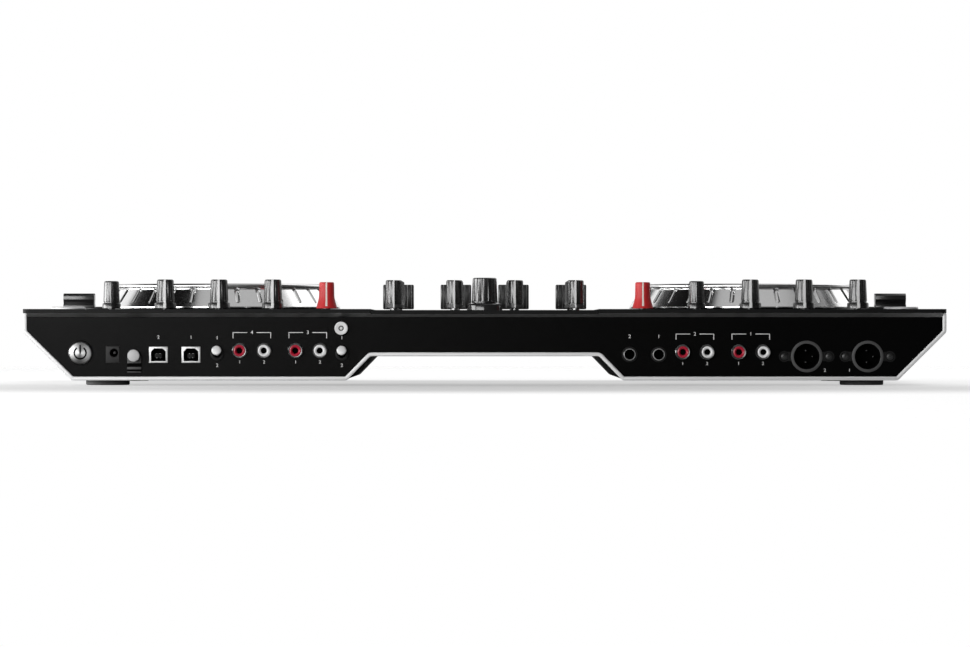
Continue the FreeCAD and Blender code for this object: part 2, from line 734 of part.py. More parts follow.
def jog_posts():
    """Fixed posts from the pan's floor up through the jog wheels, each with a round display head."""
    base, hub_floor, seat, top = jog_levels()
    display_top = top - 2 * JOG_RECESS
    shoulder = hub_floor - SLIDING
    profile = [
        (0, pan_floor),
        (POST_FOOT_RADIUS, pan_floor),
        (POST_FOOT_RADIUS, pan_floor + POST_FOOT_HEIGHT),
        (POST_RADIUS, pan_floor + POST_FOOT_HEIGHT),
        (POST_RADIUS, shoulder - JOG_WALL / 2),
        (POST_RADIUS + JOG_WALL, shoulder - JOG_WALL / 2),
        (POST_RADIUS + JOG_WALL, shoulder),
        (POST_RADIUS, shoulder),
        (POST_RADIUS, seat + SLIDING),
        (DISPLAY_RADIUS, seat + SLIDING),
        (DISPLAY_RADIUS, display_top),
        (0, display_top),
    ]
    save("jog_posts", *[turned(profile, sign * jog_x, jog_y) for sign in SIDES.values()])


def knob_pots():
    """Potentiometers and encoders on the boards, their shafts standing up through the plates."""
    pots = []
    for x, y, level in knob_places():
        body = centred_box(x, y, POT_WIDTH, POT_WIDTH, (board_top, board_top + POT_HEIGHT))
        pots.append(body.fuse(post(SHAFT_RADIUS, x, y, (board_top, level + SHAFT_INTO_KNOB))))
    save("knob_pots", *pots)


def bored(profile, place):
    """A knob turned from a profile above its plate, with the blind bore that runs on its shaft."""
    x, y, level = place
    solid = turned([(radius, level + height) for radius, height in profile], x, y)
    return solid.cut(post(SHAFT_RADIUS + RUNNING, x, y, (level, level + SHAFT_INTO_KNOB + SLIDING)))


def skirted_profile(height, top_radius, neck_radius, skirt_radius):
    """A straight knob with a ring groove above a wider skirt."""
    groove_radius = neck_radius - GROOVE_DEPTH
    return [
        (0, KNOB_FLOAT),
        (skirt_radius, KNOB_FLOAT),
        (skirt_radius, SKIRT_HEIGHT),
        (neck_radius, SKIRT_HEIGHT + GROOVE_HEIGHT),
        (groove_radius, SKIRT_HEIGHT + GROOVE_HEIGHT),
        (groove_radius, SKIRT_HEIGHT + 2 * GROOVE_HEIGHT),
        (neck_radius, SKIRT_HEIGHT + 2 * GROOVE_HEIGHT),
        (top_radius, height - KNOB_EDGE),
        (top_radius - KNOB_EDGE, height),
        (0, height),
    ]


def deck_knobs():
    """Each deck's rear row: a red knob nearest the mixer, pointer knobs and one encoder."""
    pointer_radii = (DECK_KNOB_TOP_RADIUS, DECK_KNOB_NECK_RADIUS, DECK_KNOB_SKIRT_RADIUS)
    pointer = skirted_profile(DECK_KNOB_HEIGHT, *pointer_radii)
    encoder_radii = (ENCODER_TOP_RADIUS, ENCODER_NECK_RADIUS, ENCODER_SKIRT_RADIUS)
    encoder = skirted_profile(ENCODER_HEIGHT, *encoder_radii)
    flare = [
        (0, KNOB_FLOAT),
        (RED_KNOB_SKIRT_RADIUS, KNOB_FLOAT),
        (RED_KNOB_SKIRT_RADIUS, SKIRT_HEIGHT / 2),
        ((RED_KNOB_SKIRT_RADIUS + RED_KNOB_TOP_RADIUS) / 2, SKIRT_HEIGHT),
        (RED_KNOB_TOP_RADIUS, SKIRT_HEIGHT + 3 * GROOVE_HEIGHT),
        (RED_KNOB_TOP_RADIUS, RED_KNOB_HEIGHT - KNOB_EDGE),
        (RED_KNOB_TOP_RADIUS - KNOB_EDGE, RED_KNOB_HEIGHT),
        (0, RED_KNOB_HEIGHT),
    ]
    shapes = {"filter_knob": flare, "effect_encoder": encoder}
    rows = {
        "left": ["filter_knob", "effect_knob_1", "effect_knob_2", "effect_knob_3", "effect_encoder"],
        "right": ["filter_knob", "effect_encoder", "effect_knob_1", "effect_knob_2", "effect_knob_3"],
    }
    for side, sign in SIDES.items():
        for index, name in enumerate(rows[side]):
            place = (sign * deck_knob_x(index), knob_row_y, DECK_TOP)
            save(side + "_" + name, bored(shapes.get(name, pointer), place))


def mixer_knobs():
    """The gain knobs of the rear row, the tone knobs in the rows before it, and the browse knob."""
    profile = [
        (0, MIXER_KNOB_FLOAT),
        (MIXER_KNOB_RADIUS, MIXER_KNOB_FLOAT),
        (MIXER_KNOB_RADIUS, MIXER_KNOB_FLOAT + GROOVE_HEIGHT),
        (MIXER_KNOB_RADIUS - GROOVE_DEPTH, MIXER_KNOB_FLOAT + GROOVE_HEIGHT),
        (MIXER_KNOB_RADIUS - GROOVE_DEPTH, MIXER_KNOB_FLOAT + 2 * GROOVE_HEIGHT),
        (MIXER_KNOB_RADIUS, MIXER_KNOB_FLOAT + 2 * GROOVE_HEIGHT),
        (MIXER_KNOB_RADIUS, MIXER_KNOB_HEIGHT - KNOB_EDGE),
        (MIXER_KNOB_RADIUS - KNOB_EDGE, MIXER_KNOB_HEIGHT),
        (0, MIXER_KNOB_HEIGHT),
    ]
    tone = []
    for row in range(EQ_ROWS + 1):
        y = setback(MIXER_KNOB_SETBACK + row * MIXER_KNOB_ROW_PITCH)
        for index, x in enumerate(mixer_columns()):
            knob = bored(profile, (x, y, mixer_top))
            if row == 0:
                save("gain_knob_" + str(index + 1), knob)
            else:
                tone.append(knob)
    save("tone_knobs", *tone)
    ring = BROWSE_COLLAR_HEIGHT + GROOVE_HEIGHT
    browse = [
        (0, KNOB_FLOAT),
        (BROWSE_COLLAR_RADIUS, KNOB_FLOAT),
        (BROWSE_COLLAR_RADIUS, BROWSE_COLLAR_HEIGHT),
        (BROWSE_RING_RADIUS, ring),
        (BROWSE_RING_RADIUS, ring + GROOVE_HEIGHT),
        (BROWSE_TOP_RADIUS, BROWSE_HEIGHT - KNOB_EDGE),
        (BROWSE_TOP_RADIUS - KNOB_EDGE, BROWSE_HEIGHT),
        (0, BROWSE_HEIGHT),
    ]
    save("browse_knob", bored(browse, (0, setback(BROWSE_SETBACK), mixer_top)))


def fader_tracks():
    """Fader bodies under the plates, each with the slot its tongue runs in."""
    tracks = []
    for x, y, travel, along_x, level in fader_places():
        under = level - PLATE_THICKNESS
        length = travel + TONGUE_LENGTH + 2 * TRACK_END
        size_x, size_y = (length, TRACK_WIDTH) if along_x else (TRACK_WIDTH, length)
        body = centred_box(x, y, size_x, size_y, (under - TRACK_HEIGHT, under))
        depth = under - TONGUE_DROP - SLIDING
        tracks.append(body.cut(slot(x, y, travel, along_x, (depth, under))))
    save("fader_tracks", *tracks)


def fader_cap(x, y, width, length, height, level, along_x):
    """A waisted fader cap with the tongue that runs in its slot."""
    half = (width if along_x else length) / 2
    foot = level + SLIDING
    waist = foot + height * CAP_WAIST
    shape = [(-half, foot), (half, foot), (half - CAP_TAPER, waist), (half - CAP_TAPER / 2, level + height)]
    shape += [(-half + CAP_TAPER / 2, level + height), (-half + CAP_TAPER, waist)]
    across = (length if along_x else width) / 2
    if along_x:
        points = [Vec(x + run, y - across, z) for run, z in shape]
        sweep = Vec(0, 2 * across, 0)
        tongue_x, tongue_y = TONGUE_LENGTH, TONGUE_THICKNESS
    else:
        points = [Vec(x - across, y + run, z) for run, z in shape]
        sweep = Vec(2 * across, 0, 0)
        tongue_x, tongue_y = TONGUE_THICKNESS, TONGUE_LENGTH
    cap = Part.Face(Part.makePolygon(points + points[:1])).extrude(sweep)
    drop = level - PLATE_THICKNESS - TONGUE_DROP
    return cap.fuse(centred_box(x, y, tongue_x, tongue_y, (drop, waist)))


def fader_caps():
    """Tempo, channel and crossfader caps, each at mid travel."""
    for side, sign in SIDES.items():
        place = (sign * tempo_x, tempo_y)
        size = (TEMPO_CAP_WIDTH, TEMPO_CAP_LENGTH, TEMPO_CAP_HEIGHT)
        save(side + "_tempo_cap", fader_cap(*place, *size, DECK_TOP, False))
    for index, x in enumerate(mixer_columns()):
        size = (CHANNEL_CAP_WIDTH, CHANNEL_CAP_LENGTH, CHANNEL_CAP_HEIGHT)
        cap = fader_cap(x, channel_y, *size, mixer_top, False)
        save("channel_cap_" + str(index + 1), cap)
    size = (CROSS_CAP_WIDTH, CROSS_CAP_LENGTH, CROSS_CAP_HEIGHT)
    save("crossfader_cap", fader_cap(0, cross_y, *size, mixer_top, True))


def pad_mats():
    """Each deck's silicone mat: eight pads on one web, with a contact plunger under each pad."""
    web_top = deck_under - SLIDING
    web_under = web_top - PAD_WEB
    plunger_end = board_top + PAD_TRAVEL + SLIDING
    for side, sign in SIDES.items():
        centres = list(pad_centres(sign))
        half_x = PAD_WIDTH / 2 + PAD_WEB_MARGIN
        half_y = PAD_LENGTH / 2 + PAD_WEB_MARGIN
        x = (min(c[0] for c in centres) - half_x, max(c[0] for c in centres) + half_x)
        y = (min(c[1] for c in centres) - half_y, max(c[1] for c in centres) + half_y)
        mat = box(x, y, (web_under, web_top))
        additions = []
        for pad_x, pad_y in centres:
            additions.append(pad_block(pad_x, pad_y, 0, (web_under, DECK_TOP + PAD_PROUD)))
            additions.append(post(PAD_PLUNGER_RADIUS, pad_x, pad_y, (plunger_end, web_top)))
        save(side + "_pad_mat", mat.fuse(additions).removeSplitter())


def deck_button(x, y, radius, proud):
    """A round button with a flange under the plate and a stem above its switch."""
    top = DECK_TOP + proud
    flange_top = deck_under - SLIDING
    flange_under = flange_top - BUTTON_FLANGE_THICKNESS
    profile = [
        (0, flange_under - BUTTON_STEM_LENGTH),
        (BUTTON_STEM_RADIUS, flange_under - BUTTON_STEM_LENGTH),
        (BUTTON_STEM_RADIUS, flange_under),
        (radius + BUTTON_FLANGE, flange_under),
        (radius + BUTTON_FLANGE, flange_top),
        (radius, flange_top),
        (radius, top - BUTTON_EDGE),
        (radius - BUTTON_EDGE, top),
        (0, top),
    ]
    return turned(profile, x, y)


def deck_buttons_and_switches():
    """The decks' round buttons and the tact switches under them."""
    stem_end = deck_under - SLIDING - BUTTON_FLANGE_THICKNESS - BUTTON_STEM_LENGTH
    switch_top = stem_end - BUTTON_TRAVEL - SLIDING
    switches = []
    for side, sign in SIDES.items():
        names = ("tempo_reset", "cue_button", "play_button")
        for name, (x, y, radius, proud) in zip(names, deck_buttons(sign)):
            save(side + "_" + name, deck_button(x, y, radius, proud))
            switches.append(centred_box(x, y, SWITCH_WIDTH, SWITCH_WIDTH, (board_top, switch_top)))
    save("tact_switches", *switches)


def power_switch():
    """The bezel and body of the power switch, and its push button."""
    bezel = POWER_RADIUS + SLIDING + POWER_BEZEL
    body_end = panel_back + POWER_DEPTH
    body = rod(bezel, power_x, POWER_Z, (panel_face - POWER_BEZEL_PROUD, panel_back))
    body = body.fuse(rod(bezel + POWER_BEZEL, power_x, POWER_Z, (panel_back, body_end)))
    button_front = panel_face - POWER_BUTTON_PROUD
    button_back = body_end - POWER_BEZEL_PROUD - POWER_TRAVEL - SLIDING
    well_end = button_back + POWER_TRAVEL + SLIDING
    well = rod(POWER_RADIUS + SLIDING, power_x, POWER_Z, (button_front, well_end))
    button = rod(POWER_RADIUS, power_x, POWER_Z, (button_front, button_back))
    rim = [edge for edge in button.Edges if abs(edge.CenterOfMass.y - button_front) < RUNNING]
    save("power_button", button.makeChamfer(KNOB_EDGE, rim))
    return body.cut(well)


def toggles():
    """The two line and phono levers, tilted up, and their bushed switch bodies."""
    tilt = math.radians(TOGGLE_TILT)
    lever_axis = Vec(0, -math.cos(tilt), math.sin(tilt))
    bodies = []
    for name, x in zip(("line_toggle_1", "line_toggle_2"), toggle_xs):
        pivot = Vec(x, panel_back, TOGGLE_PIVOT_Z)
        ball = Part.makeSphere(TOGGLE_BALL_RADIUS, pivot + lever_axis * TOGGLE_LENGTH)
        stalk = Part.makeCylinder(TOGGLE_STALK_RADIUS, TOGGLE_LENGTH, pivot, lever_axis)
        joint = Part.makeSphere(TOGGLE_PIVOT_RADIUS, pivot)
        save(name, stalk.fuse([ball, joint]))
        body_end = panel_back + TOGGLE_BODY
        body = facing_block(x, TOGGLE_PIVOT_Z, TOGGLE_BODY, TOGGLE_BODY, (panel_back, body_end))
        front = panel_face - TOGGLE_BUSH_PROUD
        body = body.fuse(rod(TOGGLE_BUSH_RADIUS, x, TOGGLE_PIVOT_Z, (front, panel_back)))
        room = 2 * (TOGGLE_PIVOT_RADIUS + SLIDING)
        well = (front, panel_back + TOGGLE_PIVOT_RADIUS + SLIDING)
        bodies.append(body.cut(facing_block(x, TOGGLE_PIVOT_Z, room, 2 * TOGGLE_SLOT_HALF, well)))
    return bodies


def rear_switches():
    """Bodies of the rear switches share one node."""
    save("rear_switch_bodies", power_switch(), *toggles())


def dc_inlet():
    """The low-voltage inlet: a block with a round well and its centre pin."""
    front = panel_face - USB_PROUD
    block = facing_block(dc_x, DC_Z, DC_WIDTH, DC_HEIGHT, (front, panel_back + DC_DEPTH))
    hole_x = dc_x + DC_HOLE_SHIFT
    hole_z = DC_Z + DC_HOLE_OFFSET
    well = rod(DC_HOLE_RADIUS, hole_x, hole_z, (front, front + DC_HOLE_DEPTH))
    pin = rod(DC_PIN_RADIUS, hole_x, hole_z, (panel_face, front + DC_HOLE_DEPTH + PANEL_THICKNESS))
    save("dc_inlet", block.cut(well).fuse(pin))


def cable_hook():
    """The hook for the power lead: a round post over a slotted base on the panel."""
    post_body = rod(HOOK_RADIUS, hook_x, HOOK_Z, (panel_face - HOOK_REACH, panel_face))
    half = HOOK_BASE_WIDTH / 2
    front = panel_face - HOOK_BASE_PROUD
    base = box((hook_x - half, hook_x + half), (front, panel_face), (HOOK_BASE_BOTTOM, HOOK_Z))
    slots = []
    for step in (1, 3):
        low = HOOK_BASE_BOTTOM + step * HOOK_SLOT
        depth = (front, front + HOOK_SLOT)
        slots.append(box((hook_x - half, hook_x + half), depth, (low, low + HOOK_SLOT)))
    save("cable_hook", base.cut(slots).fuse(post_body))


def usb_sockets():
    """Two square sockets, each a metal shell around a tongue."""
    sockets = []
    front = panel_face - USB_PROUD
    for x in usb_places():
        shell = facing_block(x, USB_Z, USB_WIDTH, USB_HEIGHT, (front, panel_back + USB_DEPTH))
        mouth_end = front + USB_MOUTH_DEPTH
        shell = shell.cut(facing_block(x, USB_Z, USB_MOUTH_WIDTH, USB_MOUTH_HEIGHT, (front, mouth_end)))
        tongue_span = (mouth_end - USB_TONGUE_LENGTH, mouth_end + PANEL_THICKNESS)
        tongue = facing_block(x, USB_Z, USB_TONGUE_WIDTH, USB_TONGUE_HEIGHT, tongue_span)
        sockets.append(shell.fuse(tongue))
    save("usb_sockets", *sockets)


def rca_sockets():
    """Eight phono sockets: a round collar with a flared mouth, and a block behind the panel."""
    sockets = []
    front = panel_face - RCA_REACH
    for x, z in rca_places():
        body = rod(RCA_RADIUS, x, z, (front, panel_back))
        body = body.fuse(facing_block(x, z, RCA_BODY, RCA_BODY, (panel_back, panel_back + RCA_BODY)))
        axis = Vec(0, 1, 0)
        mouth = Part.makeCone(RCA_MOUTH_RADIUS, RCA_BORE_RADIUS, RCA_MOUTH_DEPTH, Vec(x, front, z), axis)
        bore = rod(RCA_BORE_RADIUS, x, z, (front, front + RCA_MOUTH_DEPTH + RCA_BORE_LENGTH))
        sockets.append(body.cut([mouth, bore]))
    save("rca_sockets", *sockets)


def ground_screw():
    """The thumb screw of the earth terminal."""
    head = rod(GROUND_RADIUS, ground_x, ground_z, (panel_face - ground_reach, panel_face - SLIDING))
    shank = (panel_face - ground_reach, panel_face + GROUND_SHANK_LENGTH)
    save("ground_screw", head.fuse(rod(GROUND_SHANK_RADIUS, ground_x, ground_z, shank)))


def phone_jacks():
    """Two microphone jacks in the rear panel and two headphone jacks in the front wall."""
    jacks = []
    for x in mic_places():
        front = panel_face - JACK_PROUD
        body = rod(JACK_RIM_RADIUS, x, MIC_Z, (front, panel_back))
        body = body.fuse(facing_block(x, MIC_Z, JACK_BODY, JACK_BODY, (panel_back, panel_back + JACK_DEPTH)))
        jacks.append(body.cut(rod(JACK_BORE_RADIUS, x, MIC_Z, (front, front + JACK_BORE_LENGTH))))
    for x, rim, bore in headphone_places():
        front = wall_face + JACK_PROUD
        body = rod(rim, x, PHONES_Z, (wall_back, front))
        inner = (wall_back - JACK_DEPTH, wall_back)
        body = body.fuse(facing_block(x, PHONES_Z, JACK_BODY, JACK_BODY, inner))
        jacks.append(body.cut(rod(bore, x, PHONES_Z, (front - JACK_BORE_LENGTH, front))))
    save("phone_jacks", *jacks)


def xlr_sockets():
    """Two balanced outputs: a round shell with three pins, on a flange behind the panel."""
    sockets = []
    screws = []
    front = panel_face - XLR_PROUD
    well_end = front + XLR_WELL_DEPTH
    for x in xlr_places():
        shell = rod(XLR_RADIUS, x, XLR_Z, (front, panel_back + XLR_DEPTH))
        flange_width = 2 * (XLR_SCREW_OFFSET + XLR_SCREW_MARGIN)
        flange_span = (panel_back, panel_back + XLR_FLANGE_THICKNESS)
        shell = shell.fuse(facing_block(x, XLR_Z, flange_width, XLR_FLANGE_HEIGHT, flange_span))
        holes = []
        for offset in (-XLR_SCREW_OFFSET, XLR_SCREW_OFFSET):
            holes.append(rod(XLR_SCREW_RADIUS + RUNNING, x + offset, XLR_Z, flange_span))
            head_span = (panel_face - XLR_SCREW_HEAD_HEIGHT, panel_face)
            head = rod(XLR_SCREW_HEAD, x + offset, XLR_Z, head_span)
            shank = rod(XLR_SCREW_RADIUS, x + offset, XLR_Z, (panel_face, max(flange_span)))
            screws.append(head.fuse(shank))
        well = rod(XLR_WELL_RADIUS, x, XLR_Z, (front, well_end))
        mouth = rod(XLR_MOUTH_RADIUS, x, XLR_Z, (front, front + XLR_MOUTH_DEPTH))
        shell = shell.cut([well, mouth] + holes)
        pins = []
        for turn in (-XLR_PIN_SPREAD, 0, XLR_PIN_SPREAD):
            pin_x = x + XLR_PIN_CIRCLE * math.cos(math.radians(turn))
            pin_z = XLR_Z + XLR_PIN_CIRCLE * math.sin(math.radians(turn))
            pin_span = (well_end - XLR_PIN_LENGTH, well_end + PANEL_THICKNESS)
            pins.append(rod(XLR_PIN_RADIUS, pin_x, pin_z, pin_span))
        sockets.append(shell.fuse(pins))
    save("xlr_sockets", *sockets)
    save("xlr_screws", *screws)


def case_screws():
    """Screws through the pan into the boards' spacers."""
    save("case_screws", *[screw(x, y, foot, 0, 0) for x, y, foot in standoff_places()])


os.makedirs("parts", exist_ok=True)
bottom_pan()
front_wall()
standoffs()
edge_trim()
rear_panel()
deck_plates()
mixer_plate()
feet()
case_screws()
boards()
jog_posts()
jog_wheels()
knob_pots()
deck_knobs()
mixer_knobs()
fader_tracks()
fader_caps()
pad_mats()
deck_buttons_and_switches()
rear_switches()
dc_inlet()
cable_hook()
usb_sockets()
rca_sockets()
ground_screw()
phone_jacks()
xlr_sockets()
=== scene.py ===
# %% [markdown]
# A DJ controller, dressed
#
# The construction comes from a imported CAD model: every piece is already at its real size and place, in
# metres, with +Z up and the rear panel facing -Y. This lesson gives each piece its finish and models the
# shapes that a CAD solid leaves plain: fluted knobs, polished rims, sockets, printed marks. Nothing from
# the model is moved.

# %% Load the frame
import json
import math
import bpy
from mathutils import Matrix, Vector


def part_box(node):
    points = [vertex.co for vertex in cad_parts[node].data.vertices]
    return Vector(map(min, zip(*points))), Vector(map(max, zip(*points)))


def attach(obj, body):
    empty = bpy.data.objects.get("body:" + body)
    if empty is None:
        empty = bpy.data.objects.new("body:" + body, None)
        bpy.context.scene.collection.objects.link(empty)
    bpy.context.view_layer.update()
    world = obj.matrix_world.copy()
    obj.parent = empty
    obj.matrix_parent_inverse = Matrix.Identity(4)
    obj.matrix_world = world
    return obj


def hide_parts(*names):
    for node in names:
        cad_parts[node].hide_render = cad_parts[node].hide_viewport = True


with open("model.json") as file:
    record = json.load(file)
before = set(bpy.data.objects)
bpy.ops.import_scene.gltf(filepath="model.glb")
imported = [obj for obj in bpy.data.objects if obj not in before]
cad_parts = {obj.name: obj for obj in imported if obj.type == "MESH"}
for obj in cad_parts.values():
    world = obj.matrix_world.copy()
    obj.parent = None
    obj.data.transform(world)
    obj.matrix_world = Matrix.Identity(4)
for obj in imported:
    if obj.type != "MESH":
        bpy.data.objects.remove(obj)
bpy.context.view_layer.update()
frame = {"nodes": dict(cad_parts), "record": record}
record = frame["record"]
MM = 0.001
print("pieces in the frame:", len(frame["nodes"]))

# %% [markdown]
# Places
#
# All places are read from the frame, so that the dressing follows the model. A node's box gives its
# centre, a joint gives the pivot of a lever, and the record's mounts and openings give the
# sockets.

# %% Read places from the frame
UP = Vector((0, 0, 1))
ACROSS = Vector((1, 0, 0))
REARWARD = Vector((0, -1, 0))

mounts = {mount["name"]: Vector(mount["pos_m"]) for mount in record["mounts"]}
openings = {
    hole["name"]: [Vector(corner) for corner in hole["box_m"]]
    for hole in record["physics"]["openings"]}
joints = {joint["child"]: joint for joint in record["behaviour"]["joints"]}
slot_of = {part["node"]: part["material_slot"] for part in record["subparts"]}


def middle(node):
    low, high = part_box(node)
    return (low + high) / 2


def pivot(node):
    return Vector(joints[node]["pos_m"])


deck_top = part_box("left_deck_plate")[1].z
mixer_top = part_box("mixer_plate")[1].z
panel_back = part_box("edge_trim")[1].y
PANEL_THICKNESS = 2.0 * MM
panel_face = panel_back - PANEL_THICKNESS
wall_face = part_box("front_wall")[1].y
BAND_HEIGHT = 3.3 * MM
BAND_EDGE = 0.5 * MM
band_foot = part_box("rear_panel")[1].z - BAND_HEIGHT
print("panel face at", round(panel_face, 4), "deck top at", round(deck_top, 4))


def on_deck(node):
    """The point of the deck plate under a control."""
    spot = middle(node)
    return Vector((spot.x, spot.y, deck_top))


def on_mixer(node):
    """The point of the mixer plate under a control."""
    spot = middle(node)
    return Vector((spot.x, spot.y, mixer_top))


def on_panel(spot):
    """The point of the rear panel's face in line with a socket."""
    return Vector((spot.x, panel_face, spot.z))


# %% [markdown]
# Shader sums
#
# A finish is a small sum of noises, masks and colours. Wiring that by hand hides the sum, so a socket is
# wrapped in a class whose operators add the Math nodes. Every other node comes from one method, which
# sets the node's own options first and then its inputs.

# %% Wrap sockets and node trees
class Signal:
    """One output socket that Python's operators can work on."""

    def __init__(self, wiring, socket):
        self.wiring = wiring
        self.socket = socket

    def maths(self, operation, first, second):
        return self.wiring.node("ShaderNodeMath", {"operation": operation}, {0: first, 1: second})

    def __add__(self, other):
        return self.maths("ADD", self, other)

    __radd__ = __add__

    def __mul__(self, other):
        return self.maths("MULTIPLY", self, other)

    def __sub__(self, other):
        return self.maths("SUBTRACT", self, other)

    def __rsub__(self, other):
        return self.maths("SUBTRACT", other, self)


class Wiring:
    """A node tree with one way to add any node."""

    def __init__(self, tree):
        self.tree = tree

    def node(self, kind, settings, inputs, output=0):
        made = self.tree.nodes.new(kind)
        for key, value in settings.items():
            setattr(made, key, value)
        for key, value in inputs.items():
            self.feed(made.inputs[key], value)
        return Signal(self, made.outputs[output])

    def feed(self, socket, value):
        if isinstance(value, Signal):
            self.tree.links.new(value.socket, socket)
        else:
            socket.default_value = value

    def ramp(self, value, start, end, low, high):
        """A smooth change from low to high while the value goes from start to end."""
        inputs = {"Value": value, "From Min": start, "From Max": end, "To Min": low, "To Max": high}
        return self.node("ShaderNodeMapRange", {"interpolation_type": "SMOOTHSTEP"}, inputs)


class Finish(Wiring):
    """A material: a Principled shader and the signals that feed it."""

    def __init__(self, name):
        self.material = bpy.data.materials.new(name)
        self.material.use_nodes = True
        super().__init__(self.material.node_tree)
        self.shader = self.tree.nodes["Principled BSDF"]
        self.place = self.node("ShaderNodeTexCoord", {}, {}, "Object")

    def set(self, **inputs):
        for key, value in inputs.items():
            self.feed(self.shader.inputs[key.replace("_", " ")], value)
        return self

    def at(self, centre, scale=(1, 1, 1), turn=(0, 0, 0)):
        """Object coordinates about a centre, stretched and turned."""
        moved = {"Vector": self.place, "Location": tuple(-part for part in centre)}
        shifted = self.node("ShaderNodeMapping", {}, moved)
        return self.node("ShaderNodeMapping", {}, {"Vector": shifted, "Scale": scale, "Rotation": turn})

    def radius(self, centre, plane):
        """The distance from a centre, measured in a plane."""
        place = self.at(centre, plane)
        return self.node("ShaderNodeVectorMath", {"operation": "LENGTH"}, {0: place}, "Value")

    def noise(self, scale, detail=2.0, place=None):
        inputs = {"Vector": place or self.place, "Scale": scale, "Detail": detail}
        return self.node("ShaderNodeTexNoise", {}, inputs)

    def rings(self, centre, plane, scale):
        """Noise that changes with the radius only, as the grain of a turned face does."""
        along = self.node("ShaderNodeCombineXYZ", {}, {0: self.radius(centre, plane)})
        return self.noise(scale, place=along)

    def mix(self, mask, first, second):
        return self.node("ShaderNodeMix", {"data_type": "RGBA"}, {0: mask, 6: first, 7: second}, 2)

    def bump(self, height, strength, depth):
        inputs = {"Height": height, "Strength": strength, "Distance": depth}
        return self.set(Normal=self.node("ShaderNodeBump", {}, inputs))


def shade(value):
    """An opaque grey."""
    return (value, value, value, 1.0)


def tint(red, green, blue):
    return (red, green, blue, 1.0)


print("shader classes ready")

# %% [markdown]
# Black paint
#
# The case is metal under satin black paint. Sprayed paint has a fine orange peel and slightly uneven
# gloss, and the pan's powder coat is coarser. Two noises do it: one for the peel in the bump, one for the
# gloss. The folded band along the top of the rear panel is glossier, which a coat above a certain height
# gives.

# %% Paint finishes
def black_paint(name, tone, gloss, peel, specular):
    finish = Finish(name)
    grain = finish.noise(scale=peel, detail=3.0)
    cloud = finish.noise(scale=9.0, detail=3.0)
    finish.set(Base_Color=finish.mix(cloud, shade(tone * 0.75), shade(tone * 1.25)))
    finish.set(Roughness=gloss + (cloud - 0.5) * 0.12, Specular_IOR_Level=specular)
    return finish.bump(grain, strength=0.12, depth=0.0002)


plate_paint = black_paint("plate_paint", 0.007, 0.42, 2600.0, 0.08).material
panel_finish = black_paint("panel_paint", 0.0003, 0.32, 3200.0, 0.055)
height = panel_finish.node("ShaderNodeSeparateXYZ", {}, {0: panel_finish.place}, "Z")
band = panel_finish.ramp(height, start=band_foot, end=band_foot + BAND_EDGE, low=0.0, high=1.0)
panel_finish.set(Coat_Weight=band, Coat_Roughness=0.35, Coat_IOR=2.6)
panel_paint = panel_finish.material
pan_coat = black_paint("pan_coat", 0.02, 0.62, 1500.0, 0.35).material
print("paints:", plate_paint.name, panel_paint.name, pan_coat.name)

# %% [markdown]
# Metals
#
# The trim is satin aluminium with a drawn grain along its length. The jog wheels are smooth plated metal
# with chromed rims, and the toggles are satin nickel. A metal's look is its reflections, so the noise
# only moves its roughness a little and stretches along the drawing direction.

# %% Metal finishes
def drawn_metal(name, tone, rough, stretch, metal=1.0):
    finish = Finish(name)
    streaks = finish.noise(scale=900.0, place=finish.at((0, 0, 0), stretch))
    finish.set(Base_Color=finish.mix(streaks, shade(tone * 0.92), shade(min(tone * 1.06, 1.0))))
    finish.set(Metallic=metal, Roughness=rough + (streaks - 0.5) * 0.1)
    return finish.bump(streaks, strength=0.03, depth=0.0001).material


EVEN = (1.0, 1.0, 1.0)
ALONG_DEPTH = (1.0, 0.1, 1.0)
trim_metal = drawn_metal("trim_metal", 0.82, 0.6, (0.03, 1.0, 0.4), metal=0.45)
jog_metal = drawn_metal("jog_metal", 0.78, 0.16, (1.0, 1.0, 0.2))
ring_chrome = drawn_metal("ring_chrome", 0.84, 0.3, EVEN)
dark_nickel = drawn_metal("dark_nickel", 0.22, 0.3, ALONG_DEPTH)
socket_steel = drawn_metal("socket_steel", 0.52, 0.45, ALONG_DEPTH)
contact_gold = drawn_metal("contact_gold", 0.6, 0.25, ALONG_DEPTH)
jack_nickel = drawn_metal("jack_nickel", 0.34, 0.4, ALONG_DEPTH)
lever_nickel = drawn_metal("lever_nickel", 0.72, 0.5, EVEN, metal=0.35)
PAINTED_FANS = 2
PAINTED_FAN_TURN = math.radians(38)


def turned_steel(name, centre):
    """Steel with a turned face's circular grain and fan-shaped highlights painted into its colour."""
    finish = Finish(name)
    grain = finish.rings(centre, plane=(1, 0, 1), scale=3200.0)
    flat = finish.at(centre, turn=(math.pi / 2, 0, PAINTED_FAN_TURN))
    sweep = finish.node("ShaderNodeTexGradient", {"gradient_type": "RADIAL"}, {"Vector": flat})
    painted_fans = finish.node("ShaderNodeMath", {"operation": "SINE"}, {0: sweep * (2 * math.pi * PAINTED_FANS)})
    # Painted highlight: fan-shaped bright sectors, mixed into the base colour with the grain.
    light = (grain - 0.5) * 0.6 + painted_fans * 0.5 + 0.5
    finish.set(Base_Color=finish.mix(light, shade(0.07), shade(0.38)), Metallic=1.0)
    finish.set(Roughness=0.36 + (grain - 0.5) * 0.15)
    return finish.bump(grain, strength=0.1, depth=0.0001).material


power_steel = turned_steel("power_steel", middle("power_button"))
print("metals:", trim_metal.name, jog_metal.name, power_steel.name)

# %% [markdown]
# Plastics and rubber
#
# Knobs and caps are moulded with a fine satin texture. The same recipe, with other colours and coarser
# grain, serves the sockets, the red knobs, the feet and the silicone pads. The jog wheel's top is black
# plastic turned with fine rings, like a record.

